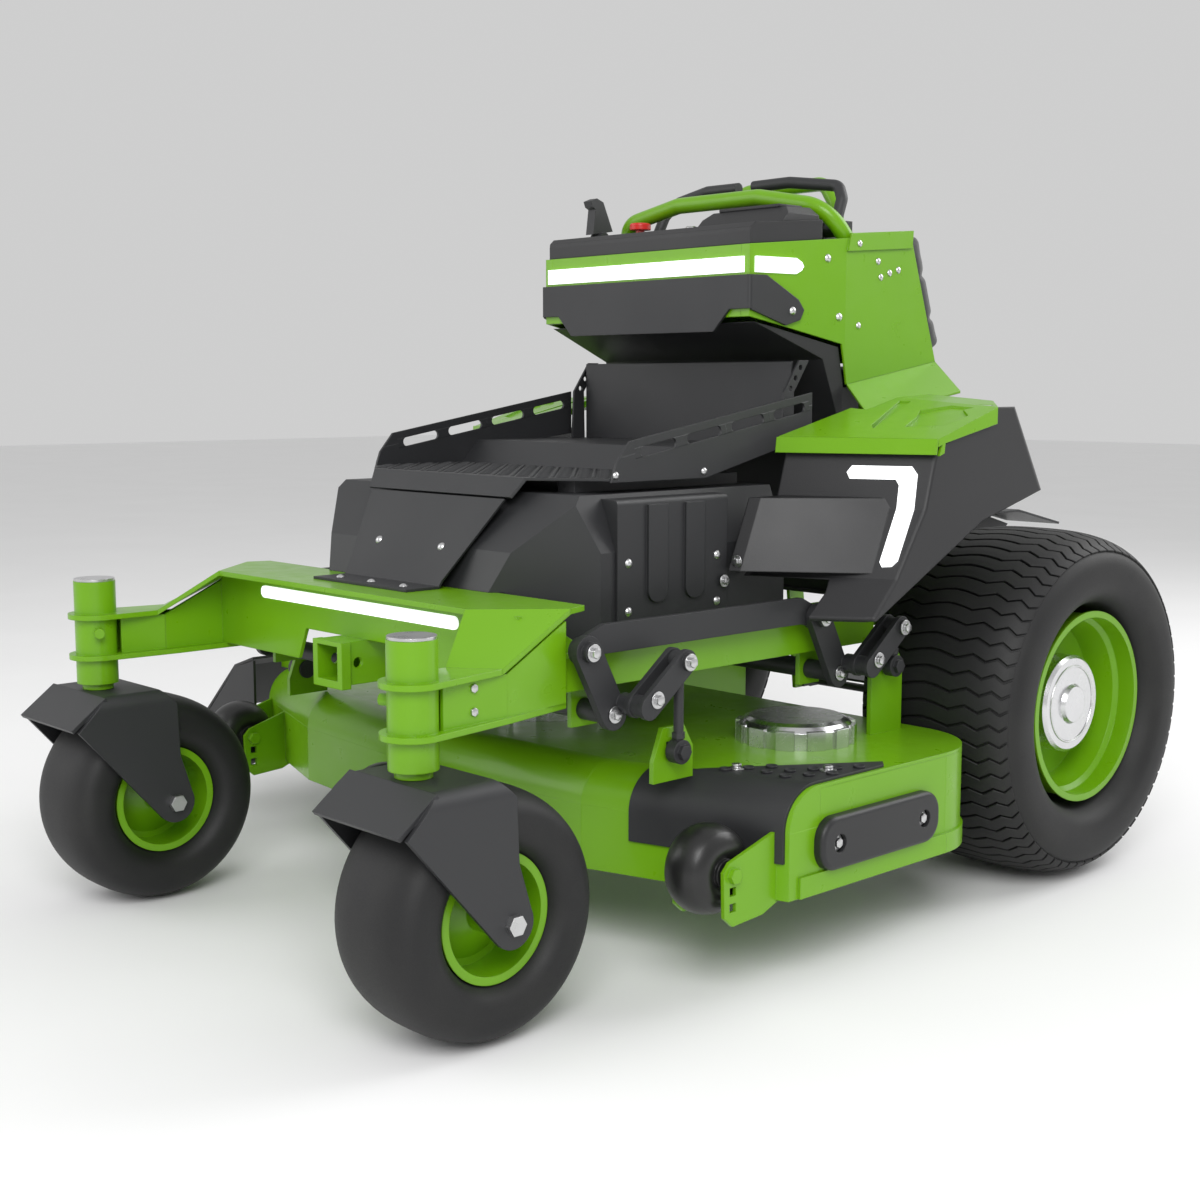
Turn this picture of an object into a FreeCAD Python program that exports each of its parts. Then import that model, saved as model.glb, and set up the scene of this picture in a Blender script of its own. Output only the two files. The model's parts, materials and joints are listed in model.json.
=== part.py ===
import FreeCAD, Part
import math
import os

# Stand-on electric zero-turn mower. Millimetres. While drawing, x points to the machine's left, y to its
# rear and z up, from the ground under the line of the two caster pivots. Every part is moved at the end,
# so that the origin of the finished model is at the bottom centre of the whole machine.

V = FreeCAD.Vector
CARCASS = 13.0            # wall of a tyre
RUN_FIT = 0.05            # radial clearance of a shaft that turns in its bore
SEAT = 0.5                # gap between faces that move past each other

# Casters
CASTER_X = 415.0          # half of the distance between the swivel axes
CASTER_TRAIL = 78.0
CASTER_RADIUS = 165.0
CASTER_WIDTH = 165.0
CASTER_RIM_RADIUS = 79.0
CASTER_RIM_WIDTH = 124.0
CASTER_AXLE_RADIUS = 9.5
CASTER_HUB_RADIUS = 22.0
FORK_WIDTH = 192.0
FORK_PLATE = 7.0
FORK_TOP = 347.0
FORK_LOBE = 32.0
SPINDLE_RADIUS = 14.0
SWIVEL_TUBE_RADIUS = 32.0
SWIVEL_TUBE_BORE = 26.0
SWIVEL_TUBE_Z = (357.0, 519.0)
BEARING_HEIGHT = 18.0

# Front beam
RING_RADIUS = 42.0
PLATE = 8.0
WEB = 6.0
ARM_LOW_Z = 396.0
ARM_TOP_Z = 468.0
BEAM_TOP_Z = 530.0
WEB_Y = 206.0
WEB_HALF = 379.0
LIGHT_Z = 500.0
LIGHT_HEIGHT = 19.0
LIGHT_HALF = 250.0
HITCH_SIZE = 64.0
HITCH_BORE = 50.8
HITCH_Z = 421.0
HITCH_FRONT = 155.0
HITCH_LENGTH = 145.0
HITCH_PIN_RADIUS = 8.0
HITCH_PIN_SETBACK = 32.0

# Main frame
RAIL_X = 380.0
RAIL_WIDTH = 38.0
RAIL_Z = (416.0, 462.0)
RAIL_END = 930.0
REAR_RAIL_X = 271.0
REAR_RAIL_END = 1480.0
CROSS_DEPTH = 44.0
MOUNT_PLATE = 10.0

# Drive wheels
AXLE_Y = 1265.0
WHEEL_RADIUS = 292.0
WHEEL_X = (312.0, 618.0)
WHEEL_RIM_RADIUS = 154.0
WHEEL_RIM_X = (339.0, 591.0)
HUB_RADIUS = 82.0
HUB_FACE_X = 560.0
DISC_X = 508.0
SHAFT_RADIUS = 20.0
MOTOR_RADIUS = 104.0
MOTOR_END_X = 492.0

# Cutting deck
DECK_LEFT = 612.0
DECK_RIGHT = -706.0
DECK_REAR = 962.0
DECK_BOTTOM = 130.0
DECK_TOP = 282.0
DECK_WALL = 5.0
DECK_BEND = 58.0
DECK_CORNER = 128.0
DECK_FRONT = [(DECK_RIGHT, 492.0), (-430.0, 398.0), (-43.0, 362.0), (300.0, 384.0), (DECK_LEFT, 478.0)]
SPINDLE_SPACING = 430.0
SPINDLE_LEFT = 395.0
SPINDLE_Y = 746.0
SPINDLE_STAGGER = 135.0
BLADE_RADIUS = 205.0
BLADE_Z = 150.0
BLADE_WIDTH = 63.0
BLADE_THICK = 6.0
BLADE_SHAFT = 12.5
MOTOR_CAP_RADIUS = 92.0
MOTOR_CAP_TOP = 320.0
ROLLER_RADIUS = 62.0
ROLLER_WIDTH = 76.0
ROLLER_Z = 182.0
ROLLER_Y = 386.0
CENTRE_ROLLER_Y = 284.0
ROLLER_PIN = 6.0
LEFT_ROLLER_X = 546.0
RIGHT_ROLLER_X = -640.0
CENTRE_ROLLER_X = -43.0
DECK_BAND = 30.0
DECK_FLOAT = 16.0         # length of play that each ear's slot leaves the deck pin
STEP_SHEET = 4.0
PAD_Y = (530.0, 800.0)
PAD_Z = (160.0, 236.0)
CHUTE_Y = (560.0, 900.0)
CHUTE_TOP = 258.0
CHUTE_PIN = 4.0
CHUTE_REACH = -900.0
HINGE_LINE = (DECK_RIGHT - 6.0, DECK_TOP + 14.0)

# Deck lift
LIFT_PIVOT_Z = 384.0
FRONT_PIVOT_Y = 321.0
REAR_PIVOT_Y = 800.0
LIFT_SHAFT_RADIUS = 15.0
CRANK_PIN_REACH = (88.0, 68.0)
CRANK_TOP_REACH = (-47.0, 90.0)
CRANK_X = 430.0
CRANK_PLATE = 12.0
HANGER_X = 470.0
FRONT_HANGER = 126.0
REAR_HANGER = 62.0
HANGER_EYE = 17.0
PIN_RADIUS = 8.0
DECK_PIN_RADIUS = 6.0
BAR_HEIGHT = 40.0

# Battery housing, tray and step panel
HOUSING_FRONT = 296.0
HOUSING_REAR = 800.0
HOUSING_HALF = 320.0
HOUSING_TOP_HALF = 288.0
HOUSING_RIDGE_Z = 587.0
HOUSING_TOP_Z = 668.0
HOUSING_BASE_Z = 456.0
SHELL = 4.0
SIDE_COVER_Y = (432.0, 662.0)
SIDE_COVER_LOW = 484.0
SIDE_RIBS_Y = (510.0, 588.0)
COVER_PROUD = 5.0
RIB_PROUD = 5.0
RIB_HALF = 20.0
RIB_LOW = 510.0
STEP_TOP = (360.0, 657.0)
TRAY_Z = 690.0
TRAY_HALF = 287.0
TRAY_FRONT = 380.0
TRAY_REAR = 898.0
TRAY_SHEET = 4.0
TRAY_SIDE_FRONT = (489.0, 743.0)
TRAY_SIDE_REAR = 812.0
TRAY_RISER = (640.0, 676.0)
TRAY_RISE = 38.0
STRUT_X = (250.0, 254.0)
BULKHEAD_HALF = 246.0
SLOT_LENGTH = 76.0
SLOT_HEIGHT = 15.0

# Control tower
NOSE_Y = 798.0
NOSE_HALF = 243.0
TOWER_HALF = 270.0
TOWER_FLARE_Y = 1005.0
TOWER_TOP_FRONT = 1045.0
TOWER_TOP_REAR = (1180.0, 1079.0)
TOWER_BACK_LOW = (1258.0, 865.0)
SKIRT_HALF = 350.0
PAD_THICK = 52.0
PAD_HALF = 264.0

# Side pods
POD_X = (323.0, 530.0, 545.0)     # inner face, start of the rear chamfer, outer face
POD_ROUND = 5.0
POD_SWEEP = 95.0                  # how much further forward the front panel is at its inner edge
FLAP_X = 457.0                    # the front panel reaches lower outside this
NOSE_Z = (545.0, 654.0)
# The rising part of a pod's top cover, taken as a plane: (y, z) of its outer front corner and its slopes
COVER_CORNER = (881.0, 744.0)
COVER_FALL = 0.0696
COVER_RISE = 0.3007
COVER_SHEET = 5.0
COVER_DEPTH = 12.0
RECESS_DEPTH = 3.0
COVER_RECESSES = [[(430, 878), (392, 1026), (372, 1022), (416, 892)],
                  [(470, 905), (520, 930), (530, 985), (505, 1008), (515, 1022), (472, 1022), (440, 985),
                   (456, 955)]]

# Handles
BAR_RADIUS = 14.0
HOOP_RADIUS = 12.5
LEVER_RADIUS = 10.0
STOP_PLACE = (-152.0, 944.0)
STOP_Z = 1092.0
LEVER_PIVOT = (1046.0, 1084.0)
LEVER_X = 213.0

# Standing platform
PLATFORM_HALF = 205.0
PLATFORM_Y = (1500.0, 1760.0)
PLATFORM_Z = 222.0
PLATFORM_THICK = 16.0
HINGE_Y = 1492.0
HINGE_Z = 208.0
HINGE_PIN = 8.0


def spot(axis, first, second, along):
    """Point from two coordinates across an axis and one along it."""
    if axis == "x":
        return V(along, first, second)
    if axis == "y":
        return V(first, along, second)
    return V(first, second, along)


def block(x, y, z):
    """Box between (low, high) pairs."""
    return Part.makeBox(x[1] - x[0], y[1] - y[0], z[1] - z[0], V(x[0], y[0], z[0]))


def bar(start, end, radius):
    """Round bar from one point to another."""
    run = V(*end) - V(*start)
    return Part.makeCylinder(radius, run.Length, V(*start), run)


def tube(start, end, radius, bore):
    """Round tube from one point to another."""
    return bar(start, end, radius).cut(bar(start, end, bore))


def polygon(points):
    """Flat face inside a ring of points."""
    return Part.Face(Part.makePolygon(points + points[:1]))


def prism(axis, outline, span):
    """Straight prism: an outline across one axis, drawn out along that axis."""
    face = polygon([spot(axis, a, b, span[0]) for a, b in outline])
    return face.extrude(spot(axis, 0, 0, span[1] - span[0]))


def loft(*sections):
    """Solid with flat or ruled sides between rings of points that match one to one."""
    wires = [Part.makePolygon([V(*p) for p in ring] + [V(*ring[0])]) for ring in sections]
    return Part.makeLoft(wires, True, True)


def wall(start, end, heights, thickness):
    """Upright plate between two plan points; heights holds (low, high) at each end."""
    run = V(end[0] - start[0], end[1] - start[1], 0).normalize()
    across = V(-run.y, run.x, 0) * (thickness / 2)
    rings = []
    for point, (low, high) in zip((start, end), heights):
        x, y = point
        rings.append([(x - across.x, y - across.y, low), (x + across.x, y + across.y, low),
                      (x + across.x, y + across.y, high), (x - across.x, y - across.y, high)])
    return loft(*rings)


def ramp(first, second, thickness):
    """Sloping plate between two straight edges, with its thickness measured straight down."""
    return loft(*[edge + [(x, y, z - thickness) for x, y, z in edge[::-1]] for edge in (first, second)])


def shifted_lines(points, depth, closed):
    """Each point moved so that every straight run shifts to its left by depth."""
    count = len(points)
    moved = []
    for index, (x, y) in enumerate(points):
        normals = []
        for a, b in ((index - 1, index), (index, index + 1)):
            if not closed and (a < 0 or b >= count):
                continue
            run = V(points[b % count][0] - points[a % count][0], points[b % count][1] - points[a % count][1],
                    0)
            run.normalize()
            normals.append(V(-run.y, run.x, 0))
        total = normals[0] + normals[-1]
        scale = depth * 2 / total.dot(total)
        moved.append((x + total.x * scale, y + total.y * scale))
    return moved


def sheet(path, thickness):
    """Closed outline of a bent sheet whose right face follows the path."""
    return path + shifted_lines(path, thickness, False)[::-1]


def inset(outline, depth):
    """Outline moved inwards all round; the points run anticlockwise."""
    return shifted_lines(outline, depth, True)


def parallel_to(axis):
    """Test for straight edges that run along an axis."""
    unit = spot(axis, 0, 0, 1)

    def test(edge):
        run = edge.Vertexes[-1].Point - edge.Vertexes[0].Point
        return run.Length > 0.1 and abs(run.normalize().dot(unit)) > 0.999
    return test


def rounded(shape, radius, test):
    """Shape with the chosen edges rounded."""
    return shape.makeFillet(radius, [edge for edge in shape.Edges if test(edge)])


def turned(axis, centre, profile):
    """Ring or disc: (distance along the axis, radius) points turned about the axis through centre."""
    points = [V(radius, 0, along) for along, radius in profile]
    shape = polygon(points).revolve(V(0, 0, 0), V(0, 0, 1), 360)
    if axis == "x":
        shape.rotate(V(0, 0, 0), V(0, 1, 0), 90)
    if axis == "y":
        shape.rotate(V(0, 0, 0), V(1, 0, 0), -90)
    shape.translate(V(*centre))
    return shape


def pipe(points, radius, bend):
    """Round bar along straight runs that arcs of one bend radius join."""
    corners = [V(*point) for point in points]
    edges = []
    start = corners[0]
    for before, corner, after in zip(corners, corners[1:], corners[2:]):
        back = (before - corner).normalize()
        ahead = (after - corner).normalize()
        half_turn = (math.pi - back.getAngle(ahead)) / 2
        reach = bend * math.tan(half_turn)
        inward = (back + ahead).normalize()
        middle = corner + inward * (bend / math.cos(half_turn) - bend)
        edges.append(Part.makeLine(start, corner + back * reach))
        edges.append(Part.Arc(corner + back * reach, middle, corner + ahead * reach).toShape())
        start = corner + ahead * reach
    edges.append(Part.makeLine(start, corners[-1]))
    ring = Part.Wire(Part.makeCircle(radius, corners[0], corners[1] - corners[0]))
    return Part.Wire(edges).makePipeShell([ring], True, False)


def mirrored(shape):
    """Copy on the other side of the machine."""
    return shape.mirror(V(0, 0, 0), V(1, 0, 0))


def both(*shapes):
    """The shapes and their mirror images."""
    return [copy for shape in shapes for copy in (shape, mirrored(shape))]


def hexagon(centre, axis, across_flats, height):
    """Hexagonal head that stands on a face and points along +axis or -axis with the height's sign."""
    corner = across_flats / math.sqrt(3)
    ring = [(corner * math.cos(math.radians(60 * k)),
             corner * math.sin(math.radians(60 * k))) for k in range(6)]
    shape = prism(axis, ring, (0, abs(height)))
    if height < 0:
        shape.translate(spot(axis, 0, 0, height))
    shape.translate(V(*centre))
    return shape


def dome_bolt(point, outward, radius):
    """Button-head bolt on a surface: a low dome that faces outward."""
    direction = V(*outward).normalize()
    dome = Part.makeSphere(radius * 1.15)
    cutter = Part.makeCylinder(radius * 2, radius * 3, V(0, 0, 0), V(0, 0, -1))
    cutter.translate(V(0, 0, radius * 0.57))
    head = dome.cut(cutter)
    head.translate(V(0, 0, -radius * 0.57))
    head.rotate(V(0, 0, 0), V(0, 0, 1).cross(direction) if abs(direction.z) < 0.999 else V(1, 0, 0),
                math.degrees(V(0, 0, 1).getAngle(direction)))
    head.translate(V(*point))
    return head


# ---------------------------------------------------------------- casters

def caster_fork(side):
    """Inverted channel with rounded bends, a sloping front flap and the swivel spindle."""
    x = side * CASTER_X
    half = FORK_WIDTH / 2
    depth = (-140, CASTER_TRAIL + 2 * FORK_LOBE)
    outer = rounded(block((x - half, x + half), depth, (0, FORK_TOP)), 22,
                    lambda edge: parallel_to("y")(edge) and edge.BoundBox.ZMin > FORK_TOP - 1)
    gap = rounded(block((x - half + FORK_PLATE, x + half - FORK_PLATE), depth, (-1, FORK_TOP - FORK_PLATE)),
                  15,
                  lambda edge: parallel_to("y")(edge) and edge.BoundBox.ZMin > FORK_TOP - FORK_PLATE - 1)
    axle_z = CASTER_RADIUS
    outline = [(-32, FORK_TOP), (-81, 299), (54, 143.5), (CASTER_TRAIL, axle_z), (109.5, 170), (88, 240),
               (85, 325), (64, FORK_TOP)]
    side_view = prism("x", outline, (x - half, x + half))
    lobe = bar((x - half, CASTER_TRAIL, axle_z), (x + half, CASTER_TRAIL, axle_z), FORK_LOBE)
    channel = outer.cut(gap).common(side_view.fuse(lobe))
    axle_hole = bar((x - half - 1, CASTER_TRAIL, axle_z), (x + half + 1, CASTER_TRAIL, axle_z),
                    CASTER_AXLE_RADIUS + RUN_FIT)
    flap = prism("x", sheet([(-90, 303), (-33, FORK_TOP)], -FORK_PLATE + 1),
                 (x - half + FORK_PLATE, x + half - FORK_PLATE))
    flap = flap.cut(channel)
    spindle = bar((x, 0, FORK_TOP), (x, 0, SWIVEL_TUBE_Z[1] - 6), SPINDLE_RADIUS)
    return [channel.cut(axle_hole), flap, spindle]


def caster_axle(side):
    """Axle bolt with its hexagonal head and nut."""
    x = side * CASTER_X
    half = FORK_WIDTH / 2
    centre = (CASTER_TRAIL, CASTER_RADIUS)
    shank = bar((x - half, *centre), (x + half, *centre), CASTER_AXLE_RADIUS)
    head = hexagon((x + half, *centre), "x", 24, 9)
    nut = hexagon((x - half, *centre), "x", 24, -9)
    return [shank.fuse([head, nut])]


def tyre_ring(half_width, rim_half, rim_radius, shoulder, radius):
    """Ring whose two bulging side walls and crown are arcs; shoulder is its (half width, radius)."""
    def point(along, distance):
        return V(distance, 0, along)
    middle = (rim_radius + shoulder[1]) / 2
    edges = [Part.makeLine(point(-rim_half, rim_radius), point(rim_half, rim_radius)),
             Part.Arc(point(rim_half, rim_radius), point(half_width, middle), point(*shoulder)).toShape(),
             Part.Arc(point(*shoulder), point(0, radius), point(-shoulder[0], shoulder[1])).toShape(),
             Part.Arc(point(-shoulder[0], shoulder[1]), point(-half_width, middle),
                      point(-rim_half, rim_radius)).toShape()]
    return Part.Face(Part.Wire(edges)).revolve(V(0, 0, 0), V(0, 0, 1), 360)


def tyre(centre, half_width, rim_half, rim_radius, shoulder, radius, carcass):
    """Tyre with its air space open towards the rim; carcass is its wall."""
    ring = tyre_ring(half_width, rim_half, rim_radius, shoulder, radius)
    air = tyre_ring(half_width - carcass, rim_half - carcass, rim_radius - 1,
                    (shoulder[0] - carcass, shoulder[1] - carcass), radius - carcass)
    shape = ring.cut(air)
    shape.rotate(V(0, 0, 0), V(0, 1, 0), 90)
    shape.translate(V(*centre))
    return shape


def caster_tyre(side):
    """Smooth caster tyre with round shoulders."""
    centre = (side * CASTER_X, CASTER_TRAIL, CASTER_RADIUS)
    ring = tyre(centre, CASTER_WIDTH / 2, CASTER_RIM_WIDTH / 2 - 3, CASTER_RIM_RADIUS,
                (CASTER_WIDTH / 2 - 15, CASTER_RADIUS - 11), CASTER_RADIUS, CARCASS)
    return [ring.cut(caster_rim(side)[0])]


def caster_rim(side):
    """Dished rim: barrel with lips, centre disc and a long hub on the axle."""
    centre = (side * CASTER_X, CASTER_TRAIL, CASTER_RADIUS)
    half = CASTER_RIM_WIDTH / 2
    hub_half = FORK_WIDTH / 2 - FORK_PLATE - SEAT
    inner = CASTER_RIM_RADIUS - 5
    profile = [(-hub_half, CASTER_AXLE_RADIUS + RUN_FIT), (hub_half, CASTER_AXLE_RADIUS + RUN_FIT),
               (hub_half, CASTER_HUB_RADIUS), (30, CASTER_HUB_RADIUS), (6, inner - 10), (6, inner),
               (half, inner),
               (half, CASTER_RIM_RADIUS + 6), (half - 3, CASTER_RIM_RADIUS + 6),
               (half - 3, CASTER_RIM_RADIUS),
               (-half + 3, CASTER_RIM_RADIUS), (-half + 3, CASTER_RIM_RADIUS + 6),
               (-half, CASTER_RIM_RADIUS + 6),
               (-half, inner), (-6, inner), (-6, inner - 10), (-30, CASTER_HUB_RADIUS),
               (-hub_half, CASTER_HUB_RADIUS)]
    return [turned("x", centre, profile)]


# ---------------------------------------------------------------- drive wheels

def drive_tyre(side):
    """Wide turf tyre."""
    middle = sum(WHEEL_X) / 2
    half = (WHEEL_X[1] - WHEEL_X[0]) / 2
    rim_half = (WHEEL_RIM_X[1] - WHEEL_RIM_X[0]) / 2 - 4
    centre = (side * middle, AXLE_Y, WHEEL_RADIUS)
    ring = tyre(centre, half, rim_half, WHEEL_RIM_RADIUS, (half - 22, WHEEL_RADIUS - 16), WHEEL_RADIUS,
                CARCASS)
    return [ring.cut(drive_rim(side)[0])]


def drive_rim(side):
    """Deep-dish rim with a step near its outer lip and a flat centre disc."""
    low, high = WHEEL_RIM_X
    lip = WHEEL_RIM_RADIUS + 6
    inner = WHEEL_RIM_RADIUS - 5
    bore = SHAFT_RADIUS + 20
    profile = [(high, lip), (high - 4, lip), (high - 4, WHEEL_RIM_RADIUS), (low + 4, WHEEL_RIM_RADIUS),
               (low + 4, lip), (low, lip), (low, inner), (DISC_X - 8, inner), (DISC_X - 8, bore),
               (DISC_X, bore), (DISC_X, inner - 16), (high - 36, inner - 8), (high - 30, inner),
               (high, inner)]
    shape = turned("x", (0, AXLE_Y, WHEEL_RADIUS), profile)
    return [shape if side > 0 else mirrored(shape)]


def drive_hub(side):
    """Silver hub that carries the rim, with its output shaft, centre cap and wheel nuts."""
    rim_bore = SHAFT_RADIUS + 20
    profile = [(MOTOR_END_X - 60, 0), (HUB_FACE_X + 7, 0), (HUB_FACE_X + 7, 30), (HUB_FACE_X, 34),
               (HUB_FACE_X, HUB_RADIUS - 5), (HUB_FACE_X - 5, HUB_RADIUS), (DISC_X, HUB_RADIUS),
               (DISC_X, rim_bore), (MOTOR_END_X + 3, rim_bore), (MOTOR_END_X + 3, SHAFT_RADIUS),
               (MOTOR_END_X - 60, SHAFT_RADIUS)]
    shape = turned("x", (0, AXLE_Y, WHEEL_RADIUS), profile)
    nuts = []
    for step in range(5):
        angle = math.radians(72 * step + 18)
        y = AXLE_Y + (HUB_RADIUS + 20) * math.cos(angle)
        z = WHEEL_RADIUS + (HUB_RADIUS + 20) * math.sin(angle)
        nuts.append(hexagon((DISC_X, y, z), "x", 21, 14))
    solids = [shape] + nuts
    return solids if side > 0 else [mirrored(solid) for solid in solids]


def wheel_motors():
    """Motor and gear housings that stand on the frame's mounting plates, inside the rims."""
    plate_x = REAR_RAIL_X + RAIL_WIDTH / 2 + MOUNT_PLATE
    body = [(plate_x, SHAFT_RADIUS + RUN_FIT), (MOTOR_END_X, SHAFT_RADIUS + RUN_FIT), (MOTOR_END_X, 60),
            (MOTOR_END_X - 30, MOTOR_RADIUS), (plate_x + 12, MOTOR_RADIUS), (plate_x + 12, MOTOR_RADIUS + 18),
            (plate_x, MOTOR_RADIUS + 18)]
    return both(turned("x", (0, AXLE_Y, WHEEL_RADIUS), body))


# ---------------------------------------------------------------- front beam

def swivel_tube():
    """Caster tube with a narrower neck below and a grease boss on its side."""
    low, high = SWIVEL_TUBE_Z
    body = tube((CASTER_X, 0, low), (CASTER_X, 0, high), SWIVEL_TUBE_RADIUS, SWIVEL_TUBE_BORE)
    neck = tube((CASTER_X, 0, FORK_TOP + SEAT), (CASTER_X, 0, low), 24, SPINDLE_RADIUS + 2)
    ledge = tube((CASTER_X, 0, low), (CASTER_X, 0, low + 6), SWIVEL_TUBE_BORE + 1, SPINDLE_RADIUS + 2)
    boss = bar((CASTER_X - 30, -10, 440), (CASTER_X - 44, -16, 440), 8)
    boss = boss.cut(bar((CASTER_X, 0, low), (CASTER_X, 0, high), SWIVEL_TUBE_BORE + 1))
    return body.fuse([neck, ledge, boss])


def ring_plate(low, back_points):
    """Flat plate that wraps round the caster tube and reaches back to the given points."""
    outline = [(CASTER_X - RING_RADIUS, 0)] + back_points + [(CASTER_X + RING_RADIUS, 0)]
    plate = prism("z", outline, (low, low + PLATE))
    plate = plate.fuse(bar((CASTER_X, 0, low), (CASTER_X, 0, low + PLATE), RING_RADIUS))
    return plate.cut(bar((CASTER_X, 0, low - 1), (CASTER_X, 0, low + PLATE + 1), SWIVEL_TUBE_RADIUS))


def front_beam():
    """Welded front beam: caster tubes, arms, cross plate, web and the square hitch receiver."""
    arm_low = ARM_LOW_Z + PLATE
    arm_high = ARM_TOP_Z - PLATE
    top_low = BEAM_TOP_Z - PLATE
    lower_plate = ring_plate(ARM_LOW_Z, [(WEB_HALF - 14, 120), (WEB_HALF - 14, 262), (404, 262), (432, 140)])
    upper_plate = ring_plate(arm_high, [(372, 84), (432, 129)])
    slope = ramp([(372, 84, ARM_TOP_Z), (432, 129, ARM_TOP_Z)],
                 [(314, 163, BEAM_TOP_Z), (405, 270, BEAM_TOP_Z)],
                 PLATE)
    outer_front = wall((436, 28), (424, 140), ((arm_low, arm_high), (arm_low, arm_high)), WEB)
    outer_rear = wall((424, 140), (405, 258), ((arm_low, arm_high), (arm_low, top_low - 8)), WEB)
    inner_front = wall((392, 30), (WEB_HALF, 100), ((arm_low, arm_high), (arm_low, arm_high)), WEB)
    inner_rear = wall((WEB_HALF, 100), (WEB_HALF, WEB_Y), ((arm_low, arm_high), (arm_low, top_low - 14)), WEB)
    top = prism("z", [(314, 163), (405, 270), (392, 306), (-392, 306), (-405, 270), (-314, 163)],
                (top_low, BEAM_TOP_Z))
    notch_half = 150.0
    notch_top = HITCH_Z + HITCH_SIZE / 2
    inside = WEB_HALF - WEB / 2
    web_outline = [(-inside, arm_low), (-notch_half, arm_low), (-notch_half + 22, notch_top),
                   (notch_half - 22, notch_top), (notch_half, arm_low), (inside, arm_low), (inside, top_low),
                   (-inside, top_low)]
    web = prism("y", web_outline, (WEB_Y - WEB / 2, WEB_Y + WEB / 2))
    slot_z = (LIGHT_Z - LIGHT_HEIGHT / 2, LIGHT_Z + LIGHT_HEIGHT / 2)
    web = web.cut(rounded(block((-LIGHT_HALF, LIGHT_HALF), (WEB_Y - 10, WEB_Y + 10), slot_z),
                          LIGHT_HEIGHT / 2 - 0.1, parallel_to("y")))
    hitch_y = (HITCH_FRONT, HITCH_FRONT + HITCH_LENGTH)
    half = HITCH_SIZE / 2
    bore = HITCH_BORE / 2
    receiver = block((-half, half), hitch_y, (HITCH_Z - half, HITCH_Z + half))
    receiver = receiver.fuse(block((-half - 5, half + 5), (HITCH_FRONT, HITCH_FRONT + 16),
                                   (HITCH_Z - half - 5, HITCH_Z + half)))
    receiver = receiver.cut(block((-bore, bore), (HITCH_FRONT - 1, hitch_y[1] + 1),
                                  (HITCH_Z - bore, HITCH_Z + bore)))
    pin_y = HITCH_FRONT + HITCH_PIN_SETBACK
    receiver = receiver.cut(bar((-half - 1, pin_y, HITCH_Z), (half + 1, pin_y, HITCH_Z), HITCH_PIN_RADIUS))
    stay = block((-half, half), (WEB_Y + WEB / 2, hitch_y[1]), (notch_top, notch_top + 6))
    return both(swivel_tube(), lower_plate, upper_plate, slope, outer_front, outer_rear, inner_front,
                inner_rear) + [top, web, receiver, stay]


def caster_bearings():
    """Two tapered bearings in each caster tube."""
    low, high = SWIVEL_TUBE_Z
    rings = []
    for base in (low + 6, high - BEARING_HEIGHT - 8):
        rings.append(tube((CASTER_X, 0, base), (CASTER_X, 0, base + BEARING_HEIGHT),
                          SWIVEL_TUBE_BORE - RUN_FIT,
                          SPINDLE_RADIUS + RUN_FIT))
    return both(*rings)


def caster_tube_caps():
    """Flat caps that close the tops of the caster tubes."""
    top = SWIVEL_TUBE_Z[1]
    cap = bar((CASTER_X, 0, top), (CASTER_X, 0, top + 4), SWIVEL_TUBE_RADIUS - 1)
    return both(cap.fuse(bar((CASTER_X, 0, top - 5), (CASTER_X, 0, top), SWIVEL_TUBE_BORE - RUN_FIT)))


def front_light_bar():
    """Long light with round ends that fills the slot in the beam's web."""
    z = (LIGHT_Z - LIGHT_HEIGHT / 2 + 0.2, LIGHT_Z + LIGHT_HEIGHT / 2 - 0.2)
    lens = block((-LIGHT_HALF + 0.2, LIGHT_HALF - 0.2), (WEB_Y - WEB / 2 - 3, WEB_Y + WEB / 2), z)
    lens = rounded(lens, LIGHT_HEIGHT / 2 - 0.4, parallel_to("y"))
    back = block((-LIGHT_HALF - 8, LIGHT_HALF + 8), (WEB_Y + WEB / 2, WEB_Y + WEB / 2 + 14),
                 (LIGHT_Z - LIGHT_HEIGHT, LIGHT_Z + LIGHT_HEIGHT))
    return [lens.fuse(back)]


# ---------------------------------------------------------------- main frame

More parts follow.
